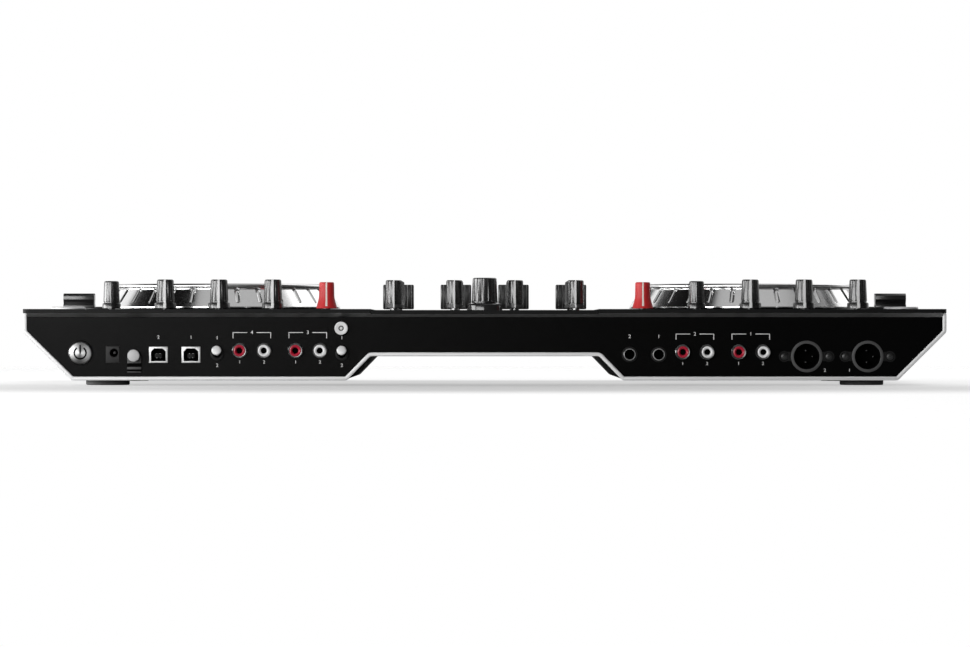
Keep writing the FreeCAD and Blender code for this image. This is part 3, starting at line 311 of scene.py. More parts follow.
# %% Moulded finishes
def moulded(name, colour, rough, grain=2800.0, depth=0.1, specular=0.5):
    finish = Finish(name)
    speck = finish.noise(scale=grain)
    cloud = finish.noise(scale=60.0)
    dark = tuple(part * 0.85 for part in colour[:3]) + (1.0,)
    pale = tuple(min(part * 1.12, 1.0) for part in colour[:3]) + (1.0,)
    finish.set(Base_Color=finish.mix(cloud, dark, pale), Specular_IOR_Level=specular)
    finish.set(Roughness=rough + (speck - 0.5) * 0.16)
    return finish.bump(speck, strength=depth, depth=0.0001).material


def ringed_black(name, centre):
    """Black plastic with fine turned rings about an upright axis."""
    finish = Finish(name)
    grain = finish.rings(centre, plane=(1, 1, 0), scale=1800.0)
    finish.set(Base_Color=finish.mix(grain, shade(0.008), shade(0.022)), Roughness=0.3 + grain * 0.2)
    return finish.bump(grain, strength=0.4, depth=0.0003).material


knob_black = moulded("knob_black", shade(0.008), 0.26, specular=1.0)
knob_grey = moulded("knob_grey", shade(0.05), 0.4)
collar_gloss = moulded("collar_gloss", shade(0.02), 0.12, depth=0.02)
knob_red = moulded("knob_red", tint(0.64, 0.03, 0.034), 0.42, specular=0.32)
pointer_white = moulded("pointer_white", shade(0.85), 0.4)
pointer_cream = moulded("pointer_cream", tint(0.93, 0.84, 0.78), 0.42)
cap_black = moulded("cap_black", shade(0.014), 0.3, specular=0.9)
socket_black = moulded("socket_black", shade(0.006), 0.5, specular=0.2)
# Near-black, painted as shade inside holes, wells and slots and on pin bases, and used for the power sign's
# print.
painted_shade_and_print_black = moulded("painted_shade_and_print_black", shade(0.0015), 0.8, specular=0.03)
socket_grey = moulded("socket_grey", shade(0.04), 0.4)
cast_grey = moulded("cast_grey", shade(0.05), 0.5)
ear_grey = moulded("ear_grey", shade(0.008), 0.5, specular=0.15)
inlet_grey = moulded("inlet_grey", shade(0.012), 0.5, specular=0.3)
phono_red = moulded("phono_red", tint(0.42, 0.012, 0.035), 0.3)
phono_white = moulded("phono_white", shade(0.8), 0.28)
screw_white = moulded("screw_white", shade(0.72), 0.36)
hook_grey = moulded("hook_grey", shade(0.5), 0.4)
foot_rubber = moulded("foot_rubber", shade(0.1), 0.75, grain=900.0, depth=0.3, specular=0.3)
pad_silicone = moulded("pad_silicone", shade(0.05), 0.55, grain=1400.0, depth=0.2, specular=0.4)
button_plastic = moulded("button_plastic", shade(0.06), 0.4)
screw_black = moulded("screw_black", shade(0.015), 0.35)
board_mask = moulded("board_mask", tint(0.02, 0.12, 0.05), 0.4)
print_white = moulded("print_white", shade(0.85), 0.5)
mark_grey = moulded("mark_grey", shade(0.03), 0.5)
lens_black = moulded("lens_black", shade(0.006), 0.06, depth=0.01)
print("moulded finishes ready")

# %% [markdown]
# Finishes on the model's own pieces
#
# The record names a material slot for every node. A table from slot to finish dresses all of them at
# once, and the pieces modelled below then stand in for some.

# %% Dress the model's pieces
slot_finish = {
    "pan_black": pan_coat, "satin_silver": trim_metal, "panel_black": panel_paint, "plate_black": plate_paint,
    "foot_rubber": foot_rubber, "screw_black": screw_black, "board_green": board_mask,
    "display_black": socket_black, "steel": socket_steel, "knob_black": knob_black, "knob_red": knob_red,
    "cap_black": cap_black, "pad_rubber": pad_silicone, "button_plastic": button_plastic,
    "jog_silver": jog_metal, "chrome": ring_chrome, "white_plastic": screw_white,
    "socket_black": socket_black, "socket_grey": socket_grey, "rca_plastic": phono_red,
}
for name, node in frame["nodes"].items():
    node.data.materials.clear()
    node.data.materials.append(slot_finish[slot_of[name]])
frame["nodes"]["knob_pots"].data.materials[0] = dark_nickel
print("dressed", len(slot_of), "nodes")

# %% [markdown]
# Modelling tools
#
# Most of the controls are turned or moulded, so a few short tools carry this lesson. An outline is drawn
# by extruding one corner after another, and is then spun round an axis or swept into a bar. Faces get a
# second finish by where they are, and what repeats is copied with a mesh of its own.

# %% Modelling tools
def pick(*pieces):
    """Select these pieces alone; the first is the active one."""
    bpy.ops.object.select_all(action="DESELECT")
    for piece in pieces:
        piece.select_set(True)
    bpy.context.view_layer.objects.active = pieces[0]
    return pieces[0]


WELD = 0.001 * MM
CREASE = 30


def weld():
    """Select the whole mesh in edit mode and merge its doubled corners."""
    bpy.ops.mesh.select_all(action="SELECT")
    bpy.ops.mesh.remove_doubles(threshold=WELD)


def seal(piece, crease=CREASE):
    """Merge doubled corners, turn the faces outward and smooth all but the creases."""
    pick(piece)
    bpy.ops.object.mode_set(mode="EDIT")
    weld()
    bpy.ops.mesh.normals_make_consistent(inside=False)
    bpy.ops.object.mode_set(mode="OBJECT")
    bpy.ops.object.shade_smooth_by_angle(angle=math.radians(crease))
    return piece


def outline(name, points, finish):
    """Draw a line through the points and stay in edit mode with all of it selected."""
    bpy.ops.object.select_all(action="DESELECT")
    bpy.ops.mesh.primitive_plane_add(size=MM, location=points[0])
    piece = bpy.context.object
    piece.name = name
    piece.data.materials.append(finish)
    bpy.ops.object.transform_apply(location=True, rotation=False, scale=False)
    bpy.ops.object.mode_set(mode="EDIT")
    bpy.ops.mesh.select_all(action="SELECT")
    bpy.ops.mesh.merge(type="CENTER")
    for start, end in zip(points, points[1:]):
        bpy.ops.mesh.extrude_vertices_move(TRANSFORM_OT_translate={"value": end - start})
    bpy.ops.mesh.select_all(action="SELECT")
    return piece


def spun(name, profile, centre, axis, steps, finish, crease=CREASE):
    """Spin an outline of (radius, height) pairs in millimetres once round an axis."""
    points = [centre + (ACROSS * radius + axis * height) * MM for radius, height in profile]
    piece = outline(name, points, finish)
    bpy.ops.mesh.spin(steps=steps, angle=2 * math.pi, center=centre, axis=axis)
    bpy.ops.object.mode_set(mode="OBJECT")
    return seal(piece, crease)


def bar(name, points, sweep, bevel, finish):
    """Fill a closed outline, sweep it along a line and soften its edges."""
    piece = outline(name, points + points[:1], finish)
    weld()
    bpy.ops.mesh.edge_face_add()
    bpy.ops.mesh.extrude_region_move(TRANSFORM_OT_translate={"value": sweep})
    bpy.ops.mesh.select_all(action="SELECT")
    bpy.ops.mesh.normals_make_consistent(inside=False)
    bpy.ops.mesh.bevel(offset=bevel * MM, segments=2, affect="EDGES")
    bpy.ops.object.mode_set(mode="OBJECT")
    return seal(piece)


def block(name, centre, size, bevel, finish):
    """A block with softened edges, from its centre and its size in millimetres."""
    bpy.ops.object.select_all(action="DESELECT")
    bpy.ops.mesh.primitive_cube_add(size=MM, location=centre)
    piece = bpy.context.object
    piece.name = name
    piece.data.materials.append(finish)
    bpy.ops.transform.resize(value=size)
    bpy.ops.object.transform_apply(location=True, rotation=False, scale=True)
    bpy.ops.object.mode_set(mode="EDIT")
    bpy.ops.mesh.select_all(action="SELECT")
    bpy.ops.mesh.bevel(offset=bevel * MM, segments=3, affect="EDGES")
    bpy.ops.object.mode_set(mode="OBJECT")
    return seal(piece)


def carve(piece, cutter, crease=CREASE):
    """Cut one shape out of another and throw the cutter away."""
    pick(piece)
    cut = piece.modifiers.new("cut", "BOOLEAN")
    cut.operation = "DIFFERENCE"
    cut.solver = "EXACT"
    cut.object = cutter
    bpy.ops.object.modifier_apply(modifier=cut.name)
    bpy.data.objects.remove(cutter)
    return seal(piece, crease)


def flute(piece, count, share, scale, low, high, plain=0.0):
    """Draw in upright strips of a turned wall, leaving a plain stretch of so many degrees at the rear."""
    for corner in piece.data.vertices:
        spot = corner.co / MM
        turn = math.degrees(math.atan2(spot.x, -spot.y))
        phase = (turn / 360 * count) % 1.0
        inside = low < spot.z < high and abs(phase - 0.5) < share / 2
        corner.select = inside and abs(turn) > plain
    for edge in piece.data.edges:
        edge.select = False
    for face in piece.data.polygons:
        face.select = False
    pick(piece)
    bpy.ops.object.mode_set(mode="EDIT")
    bpy.ops.mesh.select_mode(type="VERT")
    bpy.ops.transform.resize(value=(scale, scale, 1), center_override=(0, 0, 0))
    bpy.ops.object.mode_set(mode="OBJECT")
    return seal(piece)


def paint(piece, finish, chosen):
    """Give a finish to the faces whose centres pass a test."""
    piece.data.materials.append(finish)
    for face in piece.data.polygons:
        if chosen(face.center):
            face.material_index = len(piece.data.materials) - 1
    return piece


def within(place, radius):
    """A test for faces nearer than a radius, in millimetres, to a line along the depth."""
    return lambda spot: (spot - place).xz.length < radius * MM


def copy_at(model, name, place):
    """A copy with a mesh of its own, moved to a place that is then applied."""
    copy = model.copy()
    copy.data = model.data.copy()
    copy.name = name
    bpy.context.scene.collection.objects.link(copy)
    pick(copy)
    bpy.ops.transform.translate(value=place)
    bpy.ops.object.transform_apply(location=True, rotation=False, scale=False)
    return copy


def joined(name, pieces):
    pick(*pieces)
    if len(pieces) > 1:
        bpy.ops.object.join()
    pieces[0].name = name
    return pieces[0]


def stand_in(piece, node):
    """Let a modelled piece move with a node's body and be shown in the node's place."""
    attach(piece, node if node in joints else "chassis")
    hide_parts(node)


print("modelling tools ready")

# %% [markdown]
# Edges of the case
#
# Cut and folded sheet has small radii that catch a thin line of light. The plates and the trim are copied
# from the model, merged back into whole faces, and given a narrow bevel on their sharp edges.

# %% Soften the plates and the trim
FLAT_DEGREES = 1
SHARP_DEGREES = 40


def softened(node, width, crease):
    """A copy of a node's mesh with a narrow bevel on its sharp edges."""
    mesh = frame["nodes"][node].data.copy()
    copy = bpy.data.objects.new(f"softened_{node}", mesh)
    bpy.context.scene.collection.objects.link(copy)
    pick(copy)
    bpy.ops.mesh.customdata_custom_splitnormals_clear()
    bpy.ops.object.mode_set(mode="EDIT")
    weld()
    bpy.ops.mesh.dissolve_limited(angle_limit=math.radians(FLAT_DEGREES))
    bpy.ops.object.mode_set(mode="OBJECT")
    bevel = copy.modifiers.new("edge", "BEVEL")
    bevel.width = width * MM
    bevel.segments = 2
    bevel.limit_method = "ANGLE"
    bevel.angle_limit = math.radians(SHARP_DEGREES)
    bpy.ops.object.modifier_apply(modifier=bevel.name)
    stand_in(seal(copy, crease), node)


for node in ("left_deck_plate", "right_deck_plate", "mixer_plate"):
    softened(node, width=0.35, crease=12)
softened("edge_trim", width=0.7, crease=35)
print("softened: 3 plates and the trim")

# %% [markdown]
# Pointer knobs
#
# The effect knobs have a wide skirt, a dark groove and a fluted grip, with a white pointer moulded into
# the side that faces the rear at the middle setting. The outline is spun once, the flutes are drawn in
# with a scale about the axis, and the pointer is a strip of faces with its own finish.

# %% Pointer knobs on the decks
def rear_strip(half_degrees, low, inner=0.0):
    """A test for faces near the line that faces the rear, above a height and outside a radius."""
    def chosen(spot):
        turn = math.degrees(math.atan2(spot.x, -spot.y))
        radius = math.hypot(spot.x, spot.y)
        return abs(turn) < half_degrees and spot.z > low * MM and radius > inner * MM
    return chosen


ORIGIN = Vector((0, 0, 0))
SIDES = ("left", "right")
pointer_outline = [
    (0, 0.6), (7.95, 0.6), (8.3, 0.95), (8.16, 4.2), (7.9, 4.75), (7.4, 5.0), (6.7, 5.2), (6.7, 6.0),
    (7.0, 6.2), (6.98, 6.7), (6.3, 21.2), (6.2, 21.8), (5.95, 22.25), (5.45, 22.5), (4.8, 22.5),
    (4.5, 22.2), (1.8, 22.2), (0, 22.2)]
model = spun("pointer_knob", pointer_outline, ORIGIN, UP, 96, knob_black)
flute(model, count=12, share=0.4, scale=0.95, low=6.4, high=21.7, plain=14.0)
paint(model, pointer_white, rear_strip(half_degrees=7.5, low=0.9, inner=1.8))
for side in SIDES:
    for index in (1, 2, 3):
        node = f"{side}_effect_knob_{index}"
        stand_in(copy_at(model, f"moulded_{node}", on_deck(node)), node)
bpy.data.objects.remove(model)
print("pointer knobs: 6")

# %% [markdown]
# Encoders and filter knobs
#
# The endless encoders have finer flutes and no pointer. The filter knobs are red, flare smoothly to the
# plate and carry a thin cream line.

# %% Encoders and filter knobs
encoder_outline = [
    (0, 0.6), (6.7, 0.6), (7.0, 0.9), (6.88, 3.8), (6.65, 4.3), (6.2, 4.55), (5.75, 4.7), (5.75, 5.4),
    (6.1, 5.6), (6.08, 6.0), (5.6, 20.0), (5.55, 20.5), (5.2, 21.05), (4.6, 21.3), (4.0, 21.3), (3.7, 21.0),
    (0, 21.0)]
encoder = spun("encoder", encoder_outline, ORIGIN, UP, 72, knob_black)
flute(encoder, count=18, share=0.3, scale=0.955, low=5.8, high=20.3)
filter_outline = [
    (0, 0.6), (7.7, 0.6), (8.0, 0.9), (7.6, 2.4), (7.0, 4.4), (6.4, 6.6), (5.98, 8.6), (5.8, 10.5),
    (5.66, 19.2), (5.62, 19.7), (5.35, 20.2), (4.8, 20.5), (4.2, 20.5), (3.9, 20.2), (1.5, 20.2), (0, 20.2)]
filter_knob = spun("filter_knob", filter_outline, ORIGIN, UP, 90, knob_red)
paint(filter_knob, pointer_cream, rear_strip(half_degrees=6.0, low=3.0, inner=1.5))
for side in SIDES:
    for model, node in ((encoder, f"{side}_effect_encoder"), (filter_knob, f"{side}_filter_knob")):
        stand_in(copy_at(model, f"moulded_{node}", on_deck(node)), node)
bpy.data.objects.remove(encoder)
bpy.data.objects.remove(filter_knob)
print("encoders: 2, filter knobs: 2")

# %% [markdown]
# Mixer knobs
#
# The sixteen mixer knobs are nearly straight, with a paler ring at the foot, and stand clear of the plate
# on their shafts. The gain row turns, and the three tone rows are one group in the model, so their copies
# are joined.

# %% Gain and tone knobs
mixer_outline = [
    (0, 1.8), (6.2, 1.8), (6.45, 2.05), (6.45, 4.4), (6.2, 4.6), (6.2, 5.1), (6.5, 5.3), (6.48, 5.8),
    (6.16, 21.5), (6.1, 22.1), (5.8, 22.55), (5.3, 22.8), (4.6, 22.8), (4.3, 22.5), (1.8, 22.5), (0, 22.5)]
model = spun("mixer_knob", mixer_outline, ORIGIN, UP, 72, knob_black)
flute(model, count=12, share=0.4, scale=0.955, low=5.4, high=21.8, plain=14.0)
FOOT_RING_TOP = 4.5 * MM
paint(model, knob_grey, lambda spot: spot.z < FOOT_RING_TOP)
paint(model, pointer_white, rear_strip(half_degrees=4.0, low=1.9, inner=1.8))
CHANNELS = (1, 2, 3, 4)
for channel in CHANNELS:
    node = f"gain_knob_{channel}"
    stand_in(copy_at(model, f"moulded_{node}", on_mixer(node)), node)
tone_low, tone_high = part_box("tone_knobs")
knob_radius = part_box("gain_knob_1")[1].x - middle("gain_knob_1").x
first_row = tone_low.y + knob_radius
last_row = tone_high.y - knob_radius
tone_rows = (first_row, (first_row + last_row) / 2, last_row)
tone_copies = []
for channel in CHANNELS:
    for row in tone_rows:
        place = Vector((middle(f"gain_knob_{channel}").x, row, mixer_top))
        tone_copies.append(copy_at(model, "tone_knob", place))
stand_in(joined("moulded_tone_knobs", tone_copies), "tone_knobs")
bpy.data.objects.remove(model)
print("mixer knobs:", len(CHANNELS) + len(tone_copies))

# %% [markdown]
# Browse knob
#
# The large knob at the rear middle scrolls without end. It has coarse flutes over a dark groove, and
# turns inside a glossy flared collar, fixed to the plate, that catches the front light.

# %% Browse knob
browse_outline = [
    (0, 0.6), (8.9, 0.6), (9.2, 0.9), (9.2, 3.7), (8.9, 4.1), (8.3, 4.2), (8.3, 5.3), (9.6, 5.4), (9.95, 5.8),
    (9.95, 6.6), (9.8, 7.0), (9.05, 23.2), (8.95, 23.8), (8.5, 24.3), (7.8, 24.5), (6.6, 24.5), (6.2, 24.1),
    (0, 24.1)]
model = spun("browse_knob", browse_outline, ORIGIN, UP, 120, knob_black)
flute(model, count=15, share=0.3, scale=0.97, low=6.8, high=23.5)
BROWSE_SKIRT_TOP = 4.15 * MM
paint(model, collar_gloss, lambda spot: spot.z < BROWSE_SKIRT_TOP)
stand_in(copy_at(model, "moulded_browse_knob", on_mixer("browse_knob")), "browse_knob")
bpy.data.objects.remove(model)
collar_outline = [
    (10.3, 0.0), (13.4, 0.0), (13.4, 0.4), (13.38, 0.7), (13.18, 3.5), (13.1, 3.9), (12.7, 4.5), (11.8, 5.0),
    (10.7, 5.1), (10.3, 4.7), (10.3, 0.0)]
collar = spun("browse_collar", collar_outline, on_mixer("browse_knob"), UP, 96, collar_gloss)
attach(collar, "chassis")
print("browse knob: 1, with its collar")

# %% [markdown]
# Jog wheels
#
# Each jog wheel is a plated cone with finger notches, a polished rim round the top and a ringed black
# disc inside it. Each of the three is a closed outline spun round the axis. A rod with a round end,
# repeated round the axis, cuts the notches along the slope before the three are joined, so that the rim
# keeps its clean curve.

# %% Jog wheels
RIM_MIDDLE = Vector((82.75, 0, 17.95))
RIM_RADIUS = Vector((1.75, 0, 1.85))
RIM_STEPS = 36
rim_bends = [2 * math.pi * step / RIM_STEPS for step in range(RIM_STEPS + 1)]
rim_outline = [
    (RIM_MIDDLE.x + RIM_RADIUS.x * math.cos(bend), RIM_MIDDLE.z + RIM_RADIUS.z * math.sin(bend))
    for bend in rim_bends]
slope_low = Vector((93.0, 0, 2.2))
slope_high = Vector((83.7, 0, 15.3))
cone_outline = [
    (89.0, 1.0), (92.7, 1.0), (93.0, 1.3), (slope_low.x, slope_low.z), (slope_high.x, slope_high.z),
    (83.42, 15.7), (83.42, 16.5), (82.0, 16.9), (81.4, 16.3), (79.5, 12.5), (89.0, 1.0)]
DISC_TOP = 19.2
HUB_RADIUS = 28.5
VINYL_RADIUS = (HUB_RADIUS + 0.1) * MM
VINYL_LOW = 19.0 * MM
disc_outline = [
    (81.6, 16.0), (81.6, DISC_TOP), (80.5, DISC_TOP), (HUB_RADIUS, DISC_TOP), (HUB_RADIUS, 13.4),
    (14.4, 13.4), (14.4, 7.6), (20.0, 7.6), (20.0, 9.6), (78.5, 9.6), (81.6, 16.0)]
NOTCHES = 32
NOTCH_RADIUS = 2.4
NOTCH_SINK = 1.3
NOTCH_LOW = 6.6
NOTCH_LENGTH = 20.0
slope = (slope_high - slope_low).normalized()
slope_normal = Vector((slope.z, 0, -slope.x))
BALL_STEPS = 9
ROD_STEPS = 36
FINE_CREASE = 14
JOG_STEPS = 192


def notch_cutters():
    """Round-ended rods lying along the cone, the first of them at the rear."""
    foot = slope_low + slope * (NOTCH_LOW - slope_low.z) / slope.z + slope_normal * NOTCH_SINK
    ends = [math.pi / 2 * step / BALL_STEPS for step in range(BALL_STEPS + 1)]
    rod = [(NOTCH_RADIUS * math.sin(angle), -NOTCH_RADIUS * math.cos(angle)) for angle in ends]
    rod += [(NOTCH_RADIUS, NOTCH_LENGTH), (0, NOTCH_LENGTH)]
    points = [foot + slope_normal * radius + slope * height for radius, height in rod]
    turned = [Vector((0, -p.x, p.z)) * MM for p in points]
    cutter = outline("notch_cutter", turned, jog_metal)
    centre = Vector((0, -foot.x, foot.z)) * MM
    axis = Vector((0, -slope.x, slope.z))
    bpy.ops.mesh.spin(steps=ROD_STEPS, angle=2 * math.pi, center=centre, axis=axis)
    weld()
    bpy.ops.mesh.normals_make_consistent(inside=False)
    bpy.ops.mesh.spin(steps=NOTCHES, dupli=True, angle=2 * math.pi, center=ORIGIN, axis=UP)
    bpy.ops.object.mode_set(mode="OBJECT")
    return seal(cutter)


for side in SIDES:
    node = f"{side}_jog_wheel"
    vinyl = ringed_black(f"{side}_vinyl", on_deck(node))
    cone = spun(f"{side}_jog", cone_outline, ORIGIN, UP, JOG_STEPS, jog_metal, FINE_CREASE)
    carve(cone, notch_cutters(), FINE_CREASE)
    rim = spun("jog_rim", rim_outline, ORIGIN, UP, JOG_STEPS, ring_chrome)
    disc = spun("jog_disc", disc_outline, ORIGIN, UP, JOG_STEPS, vinyl)
    paint(disc, socket_black, lambda spot: spot.xy.length < VINYL_RADIUS or spot.z < VINYL_LOW)
    model = joined(f"{side}_jog", [cone, rim, disc])
    stand_in(copy_at(model, f"plated_{node}", on_deck(node)), node)
    bpy.data.objects.remove(model)
print("jog wheels: 2, notches each:", NOTCHES)

# %% [markdown]
# Jog displays
#
# In the middle of each wheel a round display stands still while the wheel turns. A dark lens with a
# polished rim lies on its head.

# %% Display lenses
LENS_RIM = 26.4
lens_outline = [(0, -0.1), (27.4, -0.1), (27.6, 0.1), (27.4, 0.4), (26.6, 0.45), (LENS_RIM, 0.3), (0, 0.3)]
post_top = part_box("jog_posts")[1].z
for side in SIDES:
    place = Vector((middle(f"{side}_jog_wheel").x, middle("jog_posts").y, post_top))
    lens = spun(f"{side}_display_lens", lens_outline, place, UP, 96, lens_black)
    paint(lens, ring_chrome, lambda spot: (spot - place).xy.length > LENS_RIM * MM)
    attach(lens, "chassis")
print("display lenses: 2")

# %% [markdown]
# Fader caps
#
# A fader cap is a moulded bar with a white line along its top. The mixer's caps are blocks with a dished
# top, grooved for grip, and the tempo caps have a narrow waist for the fingertips. The side view is swept
# across the cap's width, and all its edges are rounded so that they catch the light.

# %% Fader caps
CAP_CLEAR = 1.6
CAP_DISH = 1.3
DEPTHWISE = Vector((0, 1, 0))


def dished_side(half, height):
    """One half of a plain cap's side view, as (along, up) pairs in millimetres."""
    return [(half, CAP_CLEAR), (half * 0.94, height), (half * 0.32, height - CAP_DISH)]


def waisted_side(half, height):
    """One half of a tempo cap's side view."""
    return [
        (half, CAP_CLEAR), (half * 0.97, CAP_CLEAR + 2.6), (half * 0.66, CAP_CLEAR + 3.3),
        (half * 0.92, height * 0.62), (half * 0.9, height - 1.8), (half * 0.62, height),
        (half * 0.2, height - CAP_DISH)]


GROOVES = (-10.2, -6.8, -3.4, 0.0, 3.4, 6.8, 10.2)
GROOVE_DEPTH = 1.5
GROOVE_WIDTH = 1.1
LINE_WIDTH = 1.1
LINE_INSET = 3.0
STEM_SIZE = Vector((1.2, 6.0, 0))
STEM_TOP = CAP_CLEAR + 1.0


def grip_cutters(centre, along, across, half, height):
    """Upright cutters for the grip grooves in both long faces of a cap."""
    cutters = []
    for face in (-1, 1):
        for step in GROOVES:
            place = centre + (along * face * half + across * step) * MM
            size = along * GROOVE_DEPTH + across * GROOVE_WIDTH + UP * 2 * height
            cutters.append(block("groove", place, size, 0.2, cap_black))
    return joined("grooves", cutters)


def fader_cap(node, plate, along, across, side_view, rounding):
    """A cap that slides along one line, with its printed line and the stem in the slot."""
    low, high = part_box(node)
    size = (high - low) / MM
    centre = (low + high) / 2
    width = abs(size.dot(across))
    height = (high.z - plate) / MM
    foot = (low.z - plate) / MM
    half_view = side_view(abs(size.dot(along)) / 2, height)
    whole_view = half_view + [(-step, up) for step, up in reversed(half_view)]
    start = Vector((centre.x, centre.y, plate)) - across * width / 2 * MM
    points = [start + (along * step + UP * up) * MM for step, up in whole_view]
    cap = bar(f"moulded_{node}", points, across * width * MM, rounding, cap_black)
    if side_view is dished_side:
        carve(cap, grip_cutters(centre, along, across, half_view[0][0], height))
    line_middle = Vector((centre.x, centre.y, plate + (height - CAP_DISH) * MM))
    line_size = along * LINE_WIDTH + across * (width - LINE_INSET) + UP * 0.2
    line = block("cap_line", line_middle, line_size, 0.05, print_white)
    stem_middle = Vector((centre.x, centre.y, plate + (STEM_TOP + foot) / 2 * MM))
    stem_size = along * STEM_SIZE.x + across * STEM_SIZE.y + UP * (STEM_TOP - foot)
    stem = block("stem", stem_middle, stem_size, 0.1, socket_black)
    stand_in(joined(f"moulded_{node}", [cap, line, stem]), node)


for side in SIDES:
    fader_cap(f"{side}_tempo_cap", deck_top, DEPTHWISE, ACROSS, waisted_side, rounding=0.3)
for channel in CHANNELS:
    fader_cap(f"channel_cap_{channel}", mixer_top, DEPTHWISE, ACROSS, dished_side, rounding=0.9)
fader_cap("crossfader_cap", mixer_top, ACROSS, DEPTHWISE, dished_side, rounding=0.9)
print("fader caps: 7")

# %% [markdown]
# Pads and buttons
#
# The pads are soft silicone blocks with round edges, moulded as one mat under the plate. The cue, play
# and tempo reset buttons are turned shapes with a ring that lights up.

# %% Pads and buttons
PAD_SIZE = Vector((32.0, 25.0, 0))
PAD_PITCH = Vector((37.0, 31.0, 0))
PAD_ROUNDING = 1.2
plate_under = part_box("left_deck_plate")[0].z
for side in SIDES:
    node = f"{side}_pad_mat"
    pad_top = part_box(node)[1].z
    centre = middle(node)
    height = (pad_top - plate_under) / MM
    pads = []
    for column in (-1.5, -0.5, 0.5, 1.5):
        for row in (-0.5, 0.5):
            shift = Vector((column * PAD_PITCH.x, row * PAD_PITCH.y, 0)) * MM
            place = Vector((centre.x, centre.y, (pad_top + plate_under) / 2)) + shift
            pads.append(block("pad", place, PAD_SIZE + UP * height, PAD_ROUNDING, pad_silicone))
    stand_in(joined(f"moulded_{node}", pads), node)


def round_button(node, finish, ring_finish):
    """A turned button with a sunk ring in its top."""
    low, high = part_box(node)
    centre = on_deck(node)
    radius = round((high.x - low.x) / 2 / MM, 2)
    proud = (high.z - deck_top) / MM
    profile = [
        (0, -2.8), (radius - 0.4, -2.8), (radius, -2.4), (radius, proud - 0.8), (radius - 0.3, proud - 0.3),
        (radius - 0.9, proud), (radius - 2.6, proud), (radius - 2.8, proud - 0.3),
        (radius - 3.6, proud - 0.3), (radius - 3.8, proud), (radius - 5.5, proud - 0.1), (0, proud - 0.5)]
    button = spun(f"moulded_{node}", profile, centre, UP, 72, finish)
    inner = (radius - 3.7) * MM
    outer = (radius - 2.7) * MM
    top = high.z - 0.9 * MM
    paint(button, ring_finish, lambda spot: inner < (spot - centre).xy.length < outer and spot.z > top)
    stand_in(button, node)


for side in SIDES:
    round_button(f"{side}_tempo_reset", trim_metal, socket_black)
    round_button(f"{side}_cue_button", button_plastic, print_white)
    round_button(f"{side}_play_button", button_plastic, print_white)
print("pads: 16, round buttons: 6")

# %% [markdown]
# Power switch and toggles
#
# The power switch is a steel push button with a turned face in a thin black bezel. The sign on it is the
# plain broken ring and bar that any power switch has, in black. The two line switches are levers with a
# flat round tip, each in a black bush.

# %% Power switch and toggles
def sector(name, centre, axis, inner, outer, start, sweep, steps, finish):
    """A flat piece of ring with a little thickness, between two radii in millimetres."""
    side = ACROSS * math.cos(start) + axis.cross(ACROSS) * math.sin(start)
    points = [centre + side * inner * MM, centre + side * outer * MM]
    piece = outline(name, points, finish)
    bpy.ops.mesh.spin(steps=steps, angle=-sweep, center=centre, axis=axis)
    weld()
    bpy.ops.mesh.extrude_region_move(TRANSFORM_OT_translate={"value": axis * PRINT_HEIGHT})
    bpy.ops.object.mode_set(mode="OBJECT")
    return seal(piece)


PRINT_HEIGHT = 0.05 * MM
power_low, power_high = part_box("power_button")
power_radius = (power_high.x - power_low.x) / 2 / MM
power_face = Vector((middle("power_button").x, power_low.y, middle("power_button").z))
power_outline = [
    (0, 0.0), (power_radius - 1.0, 0.0), (power_radius - 0.5, -0.15), (power_radius - 0.1, -0.5),
    (power_radius, -0.9), (power_radius, -8.0), (0, -8.0)]
button = spun("turned_power_button", power_outline, power_face, REARWARD, 96, power_steel)
SIGN_GAP = math.radians(66)
SIGN_INNER = 3.8
SIGN_OUTER = 5.0
BAR_SIZE = Vector((1.2, 0.1, 6.4))
BAR_RISE = 2.7
ring_start = math.pi / 2 + SIGN_GAP / 2
ring_sweep = 2 * math.pi - SIGN_GAP
ring = sector(
    "power_ring", power_face, REARWARD, SIGN_INNER, SIGN_OUTER, ring_start, ring_sweep, 48, painted_shade_and_print_black)
stem = block("power_stem", power_face + UP * BAR_RISE * MM, BAR_SIZE, 0.04, painted_shade_and_print_black)
stand_in(joined("turned_power_button", [button, ring, stem]), "power_button")

bezel_outline = [(8.85, -1.0), (9.6, -1.0), (9.6, 0.3), (9.4, 0.9), (9.1, 1.0), (8.85, 0.7), (8.85, -1.0)]
switch_pieces = [spun("power_bezel", bezel_outline, on_panel(power_face), REARWARD, 96, socket_black)]
TOGGLES = ("line_toggle_1", "line_toggle_2")
bush_outline = [
    (2.7, -1.0), (5.0, -1.0), (5.0, 0.5), (4.6, 0.8), (4.6, 1.2), (4.9, 1.4), (4.9, 1.8), (4.4, 2.0),
    (3.4, 2.0), (3.1, 1.6), (2.7, -1.0)]
TIP_FLAT = 2.7
TIP_CREASE = 40
TILT = math.radians(12.0)
lever = REARWARD * math.cos(TILT) + UP * math.sin(TILT)
for node in TOGGLES:
    foot = pivot(node)
    switch_pieces.append(spun("toggle_bush", bush_outline, on_panel(foot), REARWARD, 48, socket_black))
    reach = (foot.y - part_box(node)[0].y) / MM
    tip = (reach - TIP_FLAT * math.sin(TILT)) / math.cos(TILT)
    lever_outline = [
        (0, -1.2), (1.3, -1.0), (1.3, tip - 7.0), (1.7, tip - 5.2), (3.0, tip - 2.4), (3.5, tip - 1.4),
        (3.6, tip - 0.9), (3.5, tip - 0.45), (3.2, tip - 0.15), (TIP_FLAT, tip), (0, tip)]
    stand_in(spun(f"chromed_{node}", lever_outline, foot, lever, 48, lever_nickel, TIP_CREASE), node)
stand_in(joined("moulded_switch_bodies", switch_pieces), "rear_switch_bodies")
print("power switch and toggles ready")

# %% [markdown]
# Power inlet and lead hook
#
# The low-voltage inlet is a moulded block with a round well and a centre pin. Beside it a round post
# stands over a slotted foot, and the power lead is hooked behind it.

